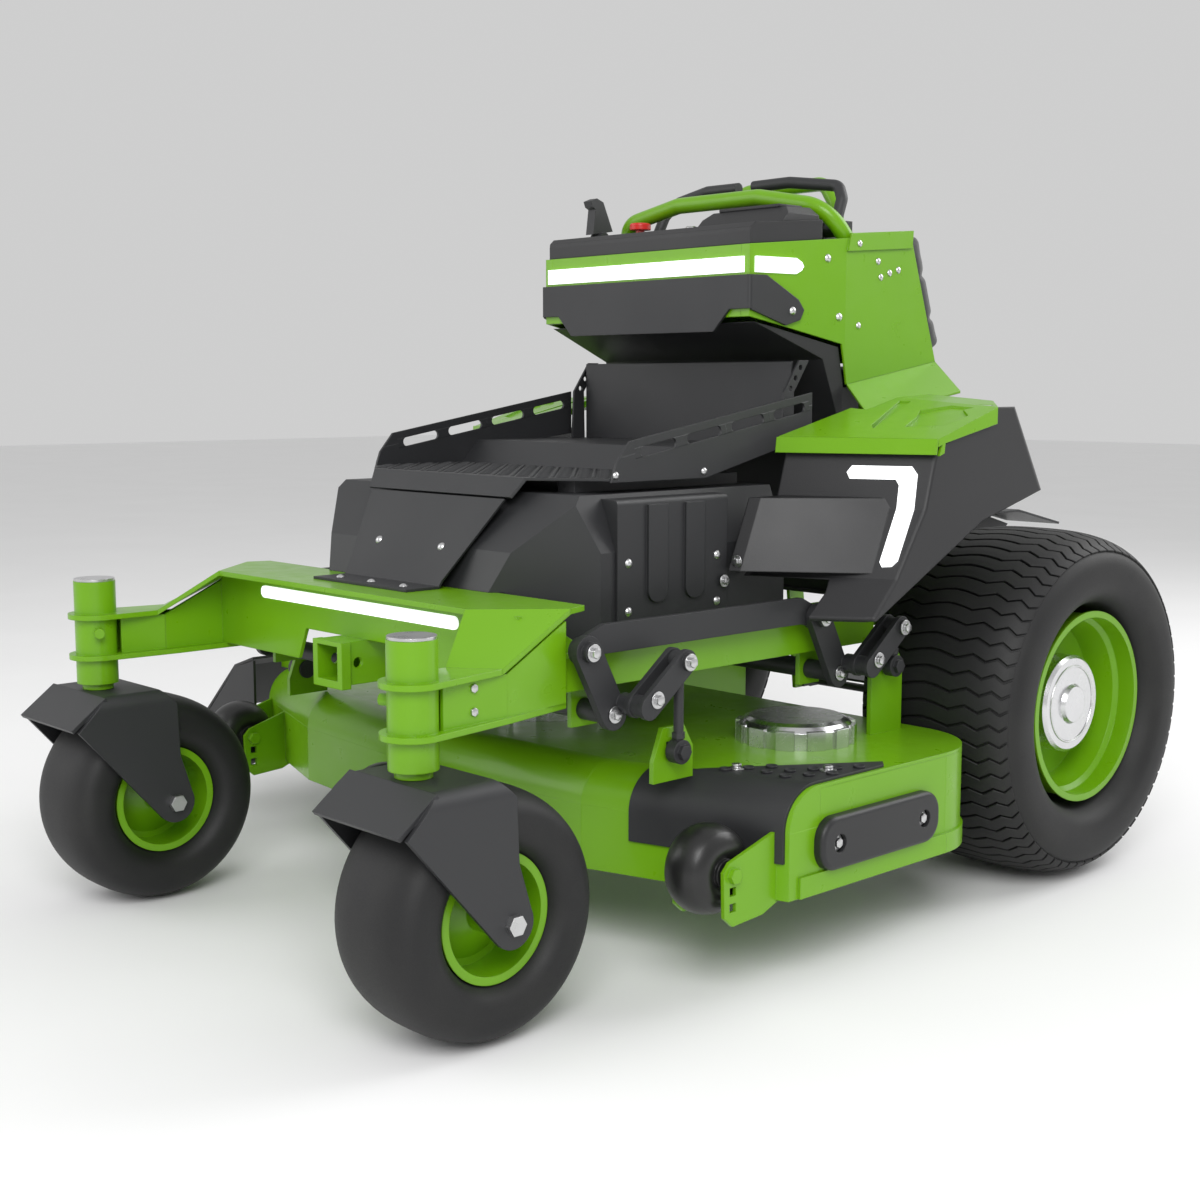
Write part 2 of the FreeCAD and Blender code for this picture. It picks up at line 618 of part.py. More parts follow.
def main_frame():
    """Two box rails, cross members, the narrower rear rails and the brackets welded to them."""
    low, high = RAIL_Z
    half = RAIL_WIDTH / 2
    outer = (RAIL_X - half, RAIL_X + half)
    inner = (REAR_RAIL_X - half, REAR_RAIL_X + half)
    rail = block(outer, (WEB_Y + WEB / 2, RAIL_END), RAIL_Z)
    rear_rail = block(inner, (RAIL_END - CROSS_DEPTH, REAR_RAIL_END), RAIL_Z)
    crosses = []
    for y in (440.0, 700.0):
        crosses.append(block((-outer[0], outer[0]), (y, y + CROSS_DEPTH), (low, high - 6)))
    crosses.append(block((-inner[0], inner[0]), (RAIL_END - CROSS_DEPTH, RAIL_END), RAIL_Z))
    crosses.append(block((-inner[0], inner[0]), (REAR_RAIL_END - CROSS_DEPTH, REAR_RAIL_END), RAIL_Z))
    link = block((inner[1], outer[0]), (RAIL_END - CROSS_DEPTH, RAIL_END), RAIL_Z)
    mount = block((inner[1], inner[1] + MOUNT_PLATE), (AXLE_Y - 130, AXLE_Y + 130),
                  (WHEEL_RADIUS - 130, high))
    mount = mount.cut(bar((inner[1] - 1, AXLE_Y, WHEEL_RADIUS),
                          (inner[1] + MOUNT_PLATE + 1, AXLE_Y, WHEEL_RADIUS),
                          SHAFT_RADIUS + 6))
    post = block((TOWER_HALF - SHELL - 26, TOWER_HALF - SHELL), (1070, 1110), (high + 6, 960))
    gusset = wall((outer[0] + 2, WEB_Y + 30), (outer[0] + 2, 330),
                  ((high, BEAM_TOP_Z - PLATE), (high, high + 4)), WEB)
    hanger = prism("x", [(REAR_RAIL_END - CROSS_DEPTH, low), (REAR_RAIL_END, low),
                         (HINGE_Y + 16, HINGE_Z + 14),
                         (HINGE_Y + 16, HINGE_Z - 16), (HINGE_Y - 30, HINGE_Z - 16)],
                   (PLATFORM_HALF + 4, PLATFORM_HALF + 12))
    hanger = hanger.cut(bar((PLATFORM_HALF, HINGE_Y, HINGE_Z), (PLATFORM_HALF + 14, HINGE_Y, HINGE_Z),
                            HINGE_PIN + RUN_FIT))
    pivot_ears = []
    for y in (FRONT_PIVOT_Y, REAR_PIVOT_Y):
        ear = block((outer[0] + 6, outer[0] + 14), (y - 24, y + 24), (LIFT_PIVOT_Z - 24, low))
        pivot_ears.append(ear.cut(bar((outer[0], y, LIFT_PIVOT_Z), (outer[1], y, LIFT_PIVOT_Z),
                                      LIFT_SHAFT_RADIUS + RUN_FIT)))
    return crosses + both(rail, rear_rail, link, mount, post, gusset, hanger, *pivot_ears)


# ---------------------------------------------------------------- cutting deck

def deck_form(depth, low, high):
    """Closed form of the deck, moved inwards by depth, with its front top edge bent to a large radius."""
    plan = DECK_FRONT + [(DECK_LEFT, DECK_REAR), (DECK_RIGHT, DECK_REAR)]
    form = prism("z", inset(plan, depth), (low, high))
    corner = DECK_CORNER - depth

    def rear_left(edge):
        return parallel_to("z")(edge) and edge.BoundBox.XMin > DECK_LEFT - 20 and edge.BoundBox.YMin > DECK_REAR - 20

    def front_top(edge):
        return edge.BoundBox.ZMin > high - 1 and edge.BoundBox.YMax < DECK_FRONT[0][1] + 20
    return rounded(rounded(form, corner, rear_left), DECK_BEND - depth, front_top)


def spindle_places():
    """Plan positions of the left, centre and right blade spindles."""
    return {"left": (SPINDLE_LEFT, SPINDLE_Y), "centre": (SPINDLE_LEFT - SPINDLE_SPACING,
                                                          SPINDLE_Y - SPINDLE_STAGGER),
            "right": (SPINDLE_LEFT - 2 * SPINDLE_SPACING, SPINDLE_Y)}


def split(shape, cells):
    """The shape cut into the piece inside each cell and whatever is left."""
    pieces = []
    rest = shape.Solids
    for cell in cells:
        pieces += [solid.common(cell) for solid in rest]
        rest = [piece for solid in rest for piece in solid.cut(cell).Solids]
    return pieces + rest


def separate(shapes):
    """Every solid in the shapes, one by one."""
    return [solid for shape in shapes for solid in shape.Solids if solid.Volume > 1]


def trimmed(pieces):
    """The same pieces, each without what the earlier ones fill."""
    kept = []
    for piece in pieces:
        for earlier in kept:
            if piece.BoundBox.intersect(earlier.BoundBox):
                piece = piece.cut(earlier)
        kept.append(piece)
    return separate(kept)


def deck_shell():
    """Welded deck: front walls with their bends, side and rear walls, top plate, lower band and ears."""
    shell = deck_form(0, DECK_BOTTOM, DECK_TOP).cut(deck_form(DECK_WALL, DECK_BOTTOM - 1,
                                                              DECK_TOP - DECK_WALL))
    for x, y in spindle_places().values():
        shell = shell.cut(bar((x, y, DECK_TOP - 20), (x, y, DECK_TOP + 1), 40))
    shell = shell.cut(block((DECK_RIGHT - 1, DECK_RIGHT + DECK_WALL + 1), CHUTE_Y,
                            (DECK_BOTTOM - 1, CHUTE_TOP)))
    cells = []
    inner_front = [(x, y + DECK_BEND + 6) for x, y in DECK_FRONT]
    for index in range(len(DECK_FRONT) - 1):
        near, far = DECK_FRONT[index:index + 2]
        back = inner_front[index:index + 2]
        plan = [(near[0], near[1] - 20), (far[0], far[1] - 20), back[1], back[0]]
        cells.append(prism("z", plan, (DECK_BOTTOM - 1, DECK_TOP - DECK_BEND)))
        cells.append(prism("z", plan, (DECK_TOP - DECK_BEND, DECK_TOP + 1)))
    span_x = (DECK_RIGHT - 1, DECK_LEFT + 1)
    cells.append(block(span_x, (300, DECK_REAR + 1), (DECK_TOP - DECK_WALL, DECK_TOP + 1)))
    corner = (DECK_LEFT - DECK_CORNER, DECK_LEFT + 1)
    cells.append(block(corner, (DECK_REAR - DECK_CORNER, DECK_REAR + 1), (DECK_BOTTOM - 1, DECK_TOP)))
    cells.append(block((DECK_LEFT - DECK_WALL, DECK_LEFT + 1), (300, DECK_REAR + 1),
                       (DECK_BOTTOM - 1, DECK_TOP)))
    cells.append(block((DECK_RIGHT - 1, DECK_RIGHT + DECK_WALL), (300, CHUTE_Y[0]),
                       (DECK_BOTTOM - 1, DECK_TOP)))
    cells.append(block((DECK_RIGHT - 1, DECK_RIGHT + DECK_WALL), (CHUTE_Y[1], DECK_REAR),
                       (DECK_BOTTOM - 1, DECK_TOP)))
    cells.append(block((DECK_RIGHT - 1, DECK_RIGHT + DECK_WALL), CHUTE_Y, (DECK_BOTTOM - 1, DECK_TOP)))
    pieces = separate(split(shell, cells))
    band_plan = [(DECK_LEFT - 200, DECK_FRONT[-1][1] + 20), (DECK_LEFT, DECK_FRONT[-1][1] + 20),
                 (DECK_LEFT, DECK_REAR), (DECK_LEFT - 200, DECK_REAR)]
    band_z = (DECK_BOTTOM, DECK_BOTTOM + DECK_BAND)

    def rear_left_edge(edge):
        corner = edge.BoundBox
        return parallel_to("z")(edge) and corner.XMin > DECK_LEFT - 9 and corner.YMin > DECK_REAR - 9

    outside = rounded(prism("z", inset(band_plan, -4), band_z), DECK_CORNER + 4, rear_left_edge)
    inside = rounded(prism("z", inset(band_plan, 0), (band_z[0] - 1, band_z[1] + 1)), DECK_CORNER,
                     rear_left_edge)
    strip = outside.cut(inside).common(block((DECK_LEFT - 190, DECK_LEFT + 9), (DECK_FRONT[-1][1] + 20, 2000),
                                             band_z))
    return pieces + separate(split(strip, [block((DECK_LEFT, DECK_LEFT + 9), (0, DECK_REAR - DECK_CORNER),
                                                 band_z)]))


def deck_ears():
    """Upright ears with float slots that the lift hangers hold, and the front roller brackets."""
    inner = HANGER_X - HANGER_EYE / 2 - 14
    x = (inner, inner + 8)
    ears = []
    for pivot_y, length, height in ((FRONT_PIVOT_Y, FRONT_HANGER, 32), (REAR_PIVOT_Y, REAR_HANGER, 28)):
        y, z = hanger_foot(pivot_y, length)
        ear = prism("x", [(y - 34, DECK_TOP), (y + 44, DECK_TOP), (y + 44, z), (y + 26, z + height),
                          (y - 16, z + height), (y - 34, z - 14)], x)
        slot = block((x[0] - 1, x[1] + 1), (y - DECK_PIN_RADIUS - 3, y + DECK_PIN_RADIUS + DECK_FLOAT),
                     (z - DECK_PIN_RADIUS - 2, z + DECK_PIN_RADIUS + 6))
        ears.append(ear.cut(slot))
    return both(*ears)


def roller_bracket(x, y, outline):
    """One upright plate beside a roller, with spare square holes below its bolt."""
    plate = prism("x", [(y + dy, ROLLER_Z + dz) for dy, dz in outline], (x - 3, x + 3))
    plate = plate.cut(bar((x - 4, y, ROLLER_Z), (x + 4, y, ROLLER_Z), ROLLER_PIN + RUN_FIT))
    for step in (1, 2):
        low = ROLLER_Z - 22 * step
        plate = plate.cut(block((x - 4, x + 4), (y - 6, y + 6), (low - 6, low + 6)))
    return plate


def roller_places():
    """Middle of each anti-scalp roller."""
    return {"left": (LEFT_ROLLER_X, ROLLER_Y), "centre": (CENTRE_ROLLER_X, CENTRE_ROLLER_Y),
            "right": (RIGHT_ROLLER_X, ROLLER_Y)}


def roller_brackets():
    """Green plates on both sides of every roller."""
    form = deck_form(-0.1, DECK_BOTTOM - 1, DECK_TOP + 1)
    step = deck_step_plate()[0]
    outline = [(-16, -56), (-18, 6), (-6, 18), (110, 52), (140, 52), (140, -34), (60, -66), (0, -70)]
    plates = []
    for x, y in roller_places().values():
        for side in (-1, 1):
            plates.append(roller_bracket(x + side * (ROLLER_WIDTH / 2 + 7), y, outline).cut(form).cut(step))
    return [max(plate.Solids, key=lambda solid: solid.Volume) for plate in plates]


def scalp_roller(name):
    """Black roller with round shoulders that turns on its pin."""
    x, y = roller_places()[name]
    half = ROLLER_WIDTH / 2
    body = tyre((x, y, ROLLER_Z), half - 3, half - 6, 20, (half - 12, ROLLER_RADIUS - 8), ROLLER_RADIUS,
                8)
    hub = tube((x - half, y, ROLLER_Z), (x + half, y, ROLLER_Z), 20, ROLLER_PIN + RUN_FIT)
    return [body.fuse(hub)]


def roller_pins():
    """Bolt and nut through each roller and its brackets."""
    pins = []
    for x, y in roller_places().values():
        half = ROLLER_WIDTH / 2 + 10
        shank = bar((x - half, y, ROLLER_Z), (x + half, y, ROLLER_Z), ROLLER_PIN)
        pins.append(shank.fuse([hexagon((x + half, y, ROLLER_Z), "x", 19, 8),
                                hexagon((x - half, y, ROLLER_Z), "x", 19, -8)]))
    return pins


def spindle_motors():
    """Silver motor housings that stand on the deck, with upright ribs round their rims."""
    motors = []
    for x, y in spindle_places().values():
        bore = BLADE_SHAFT + RUN_FIT
        profile = [(DECK_TOP, bore), (MOTOR_CAP_TOP - 12, bore), (MOTOR_CAP_TOP - 12, 0), (MOTOR_CAP_TOP, 0),
                   (MOTOR_CAP_TOP, MOTOR_CAP_RADIUS - 20), (MOTOR_CAP_TOP - 4, MOTOR_CAP_RADIUS - 12),
                   (MOTOR_CAP_TOP - 12, MOTOR_CAP_RADIUS - 4), (DECK_TOP, MOTOR_CAP_RADIUS - 4)]
        motor = turned("z", (x, y, 0), profile)
        socket = tube((x, y, DECK_TOP - 16), (x, y, DECK_TOP), 39, bore)
        ribs = []
        for step in range(12):
            angle = math.radians(30 * step)
            rib = block((MOTOR_CAP_RADIUS - 10, MOTOR_CAP_RADIUS), (-14, 14), (DECK_TOP, MOTOR_CAP_TOP - 9))
            rib.rotate(V(0, 0, 0), V(0, 0, 1), math.degrees(angle))
            rib.translate(V(x, y, 0))
            ribs.append(rib)
        motors.append(motor.fuse([socket] + ribs))
    return motors


def blade(name):
    """Blade with bevelled cutting edges and raised tails, clamped on its spindle shaft."""
    x, y = spindle_places()[name]
    half = BLADE_WIDTH / 2
    top = BLADE_Z + BLADE_THICK
    flat = block((x - BLADE_RADIUS, x + BLADE_RADIUS), (y - half, y + half), (BLADE_Z, top))
    tails = []
    for side in (-1, 1):
        edge = y - side * half
        tail = prism("x", [(edge, top), (edge + side * 22, top), (edge, top + 22)],
                     sorted((x + side * BLADE_RADIUS, x + side * (BLADE_RADIUS - 90))))
        tails.append(tail)
    clamp = bar((x, y, top), (x, y, DECK_TOP - 18), 26)
    shaft = bar((x, y, DECK_TOP - 18), (x, y, MOTOR_CAP_TOP - 14), BLADE_SHAFT)
    bolt = hexagon((x, y, BLADE_Z), "z", 30, -14)
    return [flat.fuse(tails), clamp.fuse(shaft), bolt]


def deck_step_plate():
    """Dark tread plate that wraps over the bend at the deck's front left corner."""
    outer = deck_form(-STEP_SHEET, DECK_BOTTOM - 1, DECK_TOP + STEP_SHEET)
    skin = outer.cut(deck_form(0, DECK_BOTTOM - 2, DECK_TOP))
    outline = [(378, 370), (DECK_LEFT - 6, 452), (DECK_LEFT - 6, 690), (592, 706), (440, 478), (404, 458),
               (378, 452)]
    return separate([skin.common(prism("z", outline, (DECK_TOP - 100, DECK_TOP + STEP_SHEET)))])


def deck_bumper():
    """Rounded black pad bolted to the deck's left wall."""
    pad = block((DECK_LEFT, DECK_LEFT + 16), PAD_Y, PAD_Z)
    pad = rounded(pad, 32, parallel_to("x"))

    def face(edge):
        return edge.BoundBox.XMin > DECK_LEFT + 15

    pad = rounded(pad, 7, face)
    for y in (PAD_Y[0] + 38, PAD_Y[1] - 38):
        z = sum(PAD_Z) / 2
        pad = pad.cut(bar((DECK_LEFT + 7, y, z), (DECK_LEFT + 20, y, z), 13))
    return [pad]


def discharge_chute():
    """Moulded chute that slopes outward and down from its hinge on the deck's right edge."""
    y = (CHUTE_Y[0] - 90, CHUTE_Y[1] + 6)
    path = [(CHUTE_REACH, 178), (DECK_RIGHT - 84, DECK_TOP - 2), (DECK_RIGHT - 18, HINGE_LINE[1] + 6)]
    top = prism("y", sheet(path, 5), y)
    cheeks = []
    for low in (y[0], y[1] - 5):
        cheek = prism("y", [(CHUTE_REACH + 4, 178), (DECK_RIGHT - 84, DECK_TOP - 2),
                            (DECK_RIGHT - 18, HINGE_LINE[1] + 4), (DECK_RIGHT - 18, 210),
                            (CHUTE_REACH + 4, 160)],
                      (low, low + 5))
        cheeks.append(cheek.cut(top))
    barrel = tube((HINGE_LINE[0], y[0] + 110, HINGE_LINE[1]), (HINGE_LINE[0], y[1] - 110, HINGE_LINE[1]), 8,
                  CHUTE_PIN + RUN_FIT)
    web = block((DECK_RIGHT - 20, HINGE_LINE[0]), (y[0] + 110, y[1] - 110),
                (HINGE_LINE[1] - 2, HINGE_LINE[1] + 5))
    return separate([top.fuse(barrel.fuse(web.cut(bar((HINGE_LINE[0], y[0], HINGE_LINE[1]),
                                                      (HINGE_LINE[0], y[1], HINGE_LINE[1]), 8))))] + cheeks)


def chute_hinge():
    """Hinge pin of the chute with its two knuckles on the deck."""
    y = (CHUTE_Y[0] - 90 + 60, CHUTE_Y[1] + 6 - 60)
    pin = bar((HINGE_LINE[0], y[0], HINGE_LINE[1]), (HINGE_LINE[0], y[1], HINGE_LINE[1]), CHUTE_PIN)
    knuckles = []
    for low in (y[0], y[1] - 40):
        knuckle = block((HINGE_LINE[0] - 8, DECK_RIGHT + 20), (low, low + 40), (DECK_TOP, HINGE_LINE[1] + 8))
        knuckles.append(knuckle.cut(bar((HINGE_LINE[0], low - 1, HINGE_LINE[1]),
                                        (HINGE_LINE[0], low + 41, HINGE_LINE[1]), CHUTE_PIN)))
    return [pin] + knuckles


# ---------------------------------------------------------------- deck lift

def hanger_foot(pivot_y, length):
    """Where a hanger meets the deck: straight below the end of its crank."""
    return pivot_y + CRANK_PIN_REACH[0], LIFT_PIVOT_Z + CRANK_PIN_REACH[1] - length


def link(x, first, second, radius):
    """Flat link with round ends between two (y, z) points; x is its (low, high) span."""
    run = V(second[0] - first[0], second[1] - first[1], 0).normalize() * radius
    side = (-run.y, run.x)
    outline = [(first[0] + side[0], first[1] + side[1]), (first[0] - side[0], first[1] - side[1]),
               (second[0] - side[0], second[1] - side[1]), (second[0] + side[0], second[1] + side[1])]
    body = prism("x", outline, x)
    for y, z in (first, second):
        body = body.fuse(bar((x[0], y, z), (x[1], y, z), radius))
    return body.removeSplitter()


def lift_crank(pivot_y):
    """Cross shaft with a crank at each end: a plate up to the lift bar and a forked arm to the hanger."""
    pivot = (pivot_y, LIFT_PIVOT_Z)
    end = CRANK_X + CRANK_PLATE / 2
    crank_x = (CRANK_X - CRANK_PLATE / 2, end)
    top = (pivot_y + CRANK_TOP_REACH[0], LIFT_PIVOT_Z + CRANK_TOP_REACH[1])
    tip = (pivot_y + CRANK_PIN_REACH[0], LIFT_PIVOT_Z + CRANK_PIN_REACH[1])
    root = (pivot_y + 0.2 * CRANK_PIN_REACH[0], LIFT_PIVOT_Z + 0.2 * CRANK_PIN_REACH[1])
    plate = link(crank_x, pivot, top, 22)
    cheek_gap = HANGER_EYE / 2 + SEAT
    inner_cheek = link((HANGER_X - cheek_gap - 8, HANGER_X - cheek_gap), root, tip, 17)
    outer_cheek = link((HANGER_X + cheek_gap, HANGER_X + cheek_gap + 8), root, tip, 17)
    spacer = bar((end, *root), (HANGER_X + cheek_gap, *root), 15).cut(inner_cheek)
    top_pin = bar((CRANK_X - CRANK_PLATE / 2 - 14, *top), (crank_x[0], *top), PIN_RADIUS)
    top_head = bar((end, *top), (end + 9, *top), 14)
    tip_pin = bar((HANGER_X - cheek_gap, *tip), (HANGER_X + cheek_gap, *tip), PIN_RADIUS)
    tip_head = bar((HANGER_X + cheek_gap + 8, *tip), (HANGER_X + cheek_gap + 13, *tip), 12)
    side = both(plate, inner_cheek, outer_cheek, *separate([spacer]), top_pin, top_head, tip_pin, tip_head)
    return [bar((-crank_x[0], *pivot), (crank_x[0], *pivot), LIFT_SHAFT_RADIUS)] + side


def lift_bars():
    """Flat bars, one each side, that make the front and rear cranks turn together."""
    z = LIFT_PIVOT_Z + CRANK_TOP_REACH[1]
    front = (FRONT_PIVOT_Y + CRANK_TOP_REACH[0], z)
    rear = (REAR_PIVOT_Y + CRANK_TOP_REACH[0], z)
    high = CRANK_X - CRANK_PLATE / 2 - 1
    x = (high - 9, high)
    body = prism("x", [(front[0], z - 16), (front[0] + 30, z - 8), (rear[0] - 30, z - 8), (rear[0], z - 16),
                       (rear[0], z + 18), (rear[0] - 30, z - 8 + BAR_HEIGHT),
                       (front[0] + 40, z - 8 + BAR_HEIGHT),
                       (front[0], z + 18)], x)
    for y, level in (front, rear):
        body = body.fuse(bar((x[0], y, level), (x[1], y, level), 18))
    for y, level in (front, rear):
        body = body.cut(bar((x[0] - 1, y, level), (x[1] + 1, y, level), PIN_RADIUS + 0.1))
    return both(body)


def hangers(pivot_y, length):
    """Threaded rod ends that hold the deck, with their lock nuts and deck bolts."""
    foot_y, foot_z = hanger_foot(pivot_y, length)
    top_z = foot_z + length
    half = HANGER_EYE / 2
    top_eye = tube((HANGER_X - half, foot_y, top_z), (HANGER_X + half, foot_y, top_z), 14,
                   PIN_RADIUS + RUN_FIT)
    low_eye = bar((HANGER_X - half, foot_y, foot_z), (HANGER_X + half, foot_y, foot_z), 17)
    hole = bar((HANGER_X - half, foot_y, top_z), (HANGER_X + half, foot_y, top_z), 10)
    rod = bar((HANGER_X, foot_y, foot_z + 10), (HANGER_X, foot_y, top_z - 11), 7).cut(hole)
    nut = hexagon((HANGER_X, foot_y, foot_z + 18), "z", 16, 9)
    bolt = bar((HANGER_X - half - 20, foot_y, foot_z), (HANGER_X - half, foot_y, foot_z), DECK_PIN_RADIUS)
    head = hexagon((HANGER_X + half, foot_y, foot_z), "x", 19, 7)
    washer = bar((HANGER_X - half - 20, foot_y, foot_z), (HANGER_X - half - 16, foot_y, foot_z), 16)
    body = top_eye.fuse([rod, low_eye, nut, bolt, head, washer])
    return both(body)


# ---------------------------------------------------------------- battery housing and tray

def housing_form(depth):
    """Closed form of the battery housing, moved inwards by depth."""
    front_view = [(-HOUSING_HALF, HOUSING_BASE_Z), (HOUSING_HALF, HOUSING_BASE_Z),
                  (HOUSING_HALF, HOUSING_RIDGE_Z),
                  (HOUSING_TOP_HALF, HOUSING_TOP_Z), (-HOUSING_TOP_HALF, HOUSING_TOP_Z),
                  (-HOUSING_HALF, HOUSING_RIDGE_Z)]
    plan = [(-200, HOUSING_FRONT), (200, HOUSING_FRONT), (HOUSING_HALF, 404), (HOUSING_HALF, HOUSING_REAR),
            (-HOUSING_HALF, HOUSING_REAR), (-HOUSING_HALF, 404)]
    side_view = [(HOUSING_FRONT + 16, HOUSING_BASE_Z), (HOUSING_REAR, HOUSING_BASE_Z),
                 (HOUSING_REAR, HOUSING_TOP_Z),
                 (HOUSING_FRONT + 96, HOUSING_TOP_Z), (HOUSING_FRONT + 22, HOUSING_RIDGE_Z),
                 (HOUSING_FRONT, BEAM_TOP_Z), (HOUSING_FRONT + 16, BEAM_TOP_Z)]
    form = prism("y", inset(front_view, depth), (HOUSING_FRONT - 10, HOUSING_REAR + 10))
    form = form.common(prism("z", inset(plan, depth), (HOUSING_BASE_Z - 10, HOUSING_TOP_Z + 10)))
    return form.common(prism("x", inset(side_view, depth), (-HOUSING_HALF - 10, HOUSING_HALF + 10)))


def battery_housing():
    """Charcoal hood over the batteries: faceted front and sloping shoulders, open below."""
    inner = housing_form(SHELL)
    opening = block((-HOUSING_HALF + SHELL, HOUSING_HALF - SHELL), (HOUSING_FRONT + 20, HOUSING_REAR - SHELL),
                    (HOUSING_BASE_Z - 1, HOUSING_BASE_Z + SHELL + 1))
    plan = [(-196, HOUSING_FRONT + 20), (196, HOUSING_FRONT + 20), (HOUSING_HALF - SHELL, 410),
            (HOUSING_HALF - SHELL, HOUSING_REAR), (-HOUSING_HALF + SHELL, HOUSING_REAR),
            (-HOUSING_HALF + SHELL, 410)]
    opening = opening.common(prism("z", plan, (HOUSING_BASE_Z - 2, HOUSING_BASE_Z + 10)))
    return [housing_form(0).cut(inner).cut(opening)]


def battery_pack():
    """Battery modules that stand on the cross members inside the housing."""
    low = HOUSING_BASE_Z
    modules = []
    for index in range(3):
        y = 420 + index * 124
        modules.append(block((-262, 262), (y, y + 118), (low, 640)))
    return modules


def side_covers():
    """Deep covers on the housing's sides, up to the lid, with two pressed ribs each."""
    outer_x = HOUSING_HALF + COVER_PROUD
    top_z = HOUSING_TOP_Z - 6
    cover = block((HOUSING_TOP_HALF, outer_x), SIDE_COVER_Y, (SIDE_COVER_LOW, top_z))
    cover = rounded(cover, 8, lambda edge: parallel_to("y")(edge) and edge.BoundBox.ZMin > top_z - 1
                    and edge.BoundBox.XMin > outer_x - 1)
    cover = cover.cut(housing_form(0))
    ribs = []
    for y in SIDE_RIBS_Y:
        rib = block((outer_x - 1, outer_x + RIB_PROUD), (y - RIB_HALF, y + RIB_HALF), (RIB_LOW, top_z - 9))
        ribs.append(rounded(rib, RIB_HALF - 2,
                            lambda edge: parallel_to("x")(edge) and edge.BoundBox.ZMax < RIB_LOW + 1))
    return both(cover.fuse(ribs))


def step_panel():
    """Bent plate from the front beam up to the tray, wider at its top."""
    path = [(212, BEAM_TOP_Z), (272, BEAM_TOP_Z), (STEP_TOP[0], STEP_TOP[1])]
    form = prism("x", sheet(path, 4), (-200, 200))
    front_view = [(-118, 500), (118, 500), (118, 540), (168, STEP_TOP[1] + 10), (-168, STEP_TOP[1] + 10),
                  (-118, 540)]
    return [form.common(prism("y", front_view, (200, 400)))]


def cargo_tray():
    """Tray floor with a folded front lip and a raised rear part, on two channels."""
    path = [(TRAY_FRONT - 18, TRAY_Z - 30), (TRAY_FRONT, TRAY_Z - TRAY_SHEET),
            (TRAY_RISER[0], TRAY_Z - TRAY_SHEET),
            (TRAY_RISER[1], TRAY_Z + TRAY_RISE - TRAY_SHEET), (TRAY_REAR, TRAY_Z + TRAY_RISE - TRAY_SHEET)]
    floor = prism("x", sheet(path, TRAY_SHEET), (-TRAY_HALF, TRAY_HALF))
    plan = [(-168, TRAY_FRONT - 30), (168, TRAY_FRONT - 30), (188, TRAY_FRONT), (TRAY_HALF, 452),
            (TRAY_HALF, TRAY_REAR + 9), (-TRAY_HALF, TRAY_REAR + 9), (-TRAY_HALF, 452), (-188, TRAY_FRONT)]
    floor = floor.common(prism("z", plan, (600, 800)))
    channel = block((200, 236), (430, 780), (HOUSING_TOP_Z, TRAY_Z - TRAY_SHEET))
    bulkhead = block((-BULKHEAD_HALF, BULKHEAD_HALF), (TRAY_REAR, TRAY_REAR + TRAY_SHEET),
                     (TRAY_Z + TRAY_RISE, 862))
    return separate([floor, bulkhead]) + both(channel)


def tray_slots():
    """Middle (y, z) of each lashing slot in a tray side, and the slope of their row."""
    slope = (TRAY_SIDE_REAR - TRAY_SIDE_FRONT[1]) / (TRAY_REAR - TRAY_SIDE_FRONT[0])
    places = []
    for index in range(4):
        y = TRAY_SIDE_FRONT[0] + 59 + 98 * index
        places.append((y, TRAY_SIDE_FRONT[1] + (y - TRAY_SIDE_FRONT[0]) * slope - 20))
    return places, slope


def tray_sides():
    """Side panels of the tray with four lashing slots along the top."""
    x = (TRAY_HALF, TRAY_HALF + TRAY_SHEET)
    outline = [(452, 684), (650, 684), (835, 728), (TRAY_REAR, 735), (TRAY_REAR, TRAY_SIDE_REAR),
               TRAY_SIDE_FRONT,
               (462, 712)]
    panel = prism("x", outline, x)
    places, slope = tray_slots()
    strips = []
    for y, z in places:
        cutter = block((x[0] - 1, x[1] + 1), (-SLOT_LENGTH / 2, SLOT_LENGTH / 2),
                       (-SLOT_HEIGHT / 2, SLOT_HEIGHT / 2))
        strip = block((x[0] - 1, x[1] + 1), (-49, 49), (-SLOT_HEIGHT / 2, SLOT_HEIGHT / 2))
        cutter = rounded(cutter, SLOT_HEIGHT / 2 - 0.1, parallel_to("x"))
        for shape in (cutter, strip):
            shape.rotate(V(0, 0, 0), V(1, 0, 0), math.degrees(math.atan(slope)))
            shape.translate(V(0, y, z))
        panel = panel.cut(cutter)
        strips.append(strip)
    middle = strips[0].fuse(strips[1:])
    below = prism("x", [(400, 600), (1000, 600), (1000, places[-1][1] + (1000 - places[-1][0]) * slope),
                        (400, places[0][1] + (400 - places[0][0]) * slope)], (x[0] - 1, x[1] + 1))
    return both(*separate(split(panel, [middle, below])))


def tray_struts():
    """Perforated flat struts from the tray's rear corners up to the tower."""
    strut = prism("x", [(872, 812), (896, 812), (933, 864), (909, 864)], STRUT_X)
    foot = prism("x", [(868, TRAY_Z + TRAY_RISE), (898, TRAY_Z + TRAY_RISE), (896, 812), (872, 812)], STRUT_X)
    strut = strut.fuse(foot).removeSplitter()
    for step in range(3):
        y = 888 + step * 12
        z = 818 + step * 17
        strut = strut.cut(bar((STRUT_X[0] - 1, y, z), (STRUT_X[1] + 1, y, z), 4.5))
    return both(strut)


# ---------------------------------------------------------------- control tower

def tower_top(y):
    """Height of the tower's sloping top at a place along the machine."""
    slope = (TOWER_TOP_REAR[1] - TOWER_TOP_FRONT) / (TOWER_TOP_REAR[0] - NOSE_Y)
    return TOWER_TOP_FRONT + (y - NOSE_Y) * slope


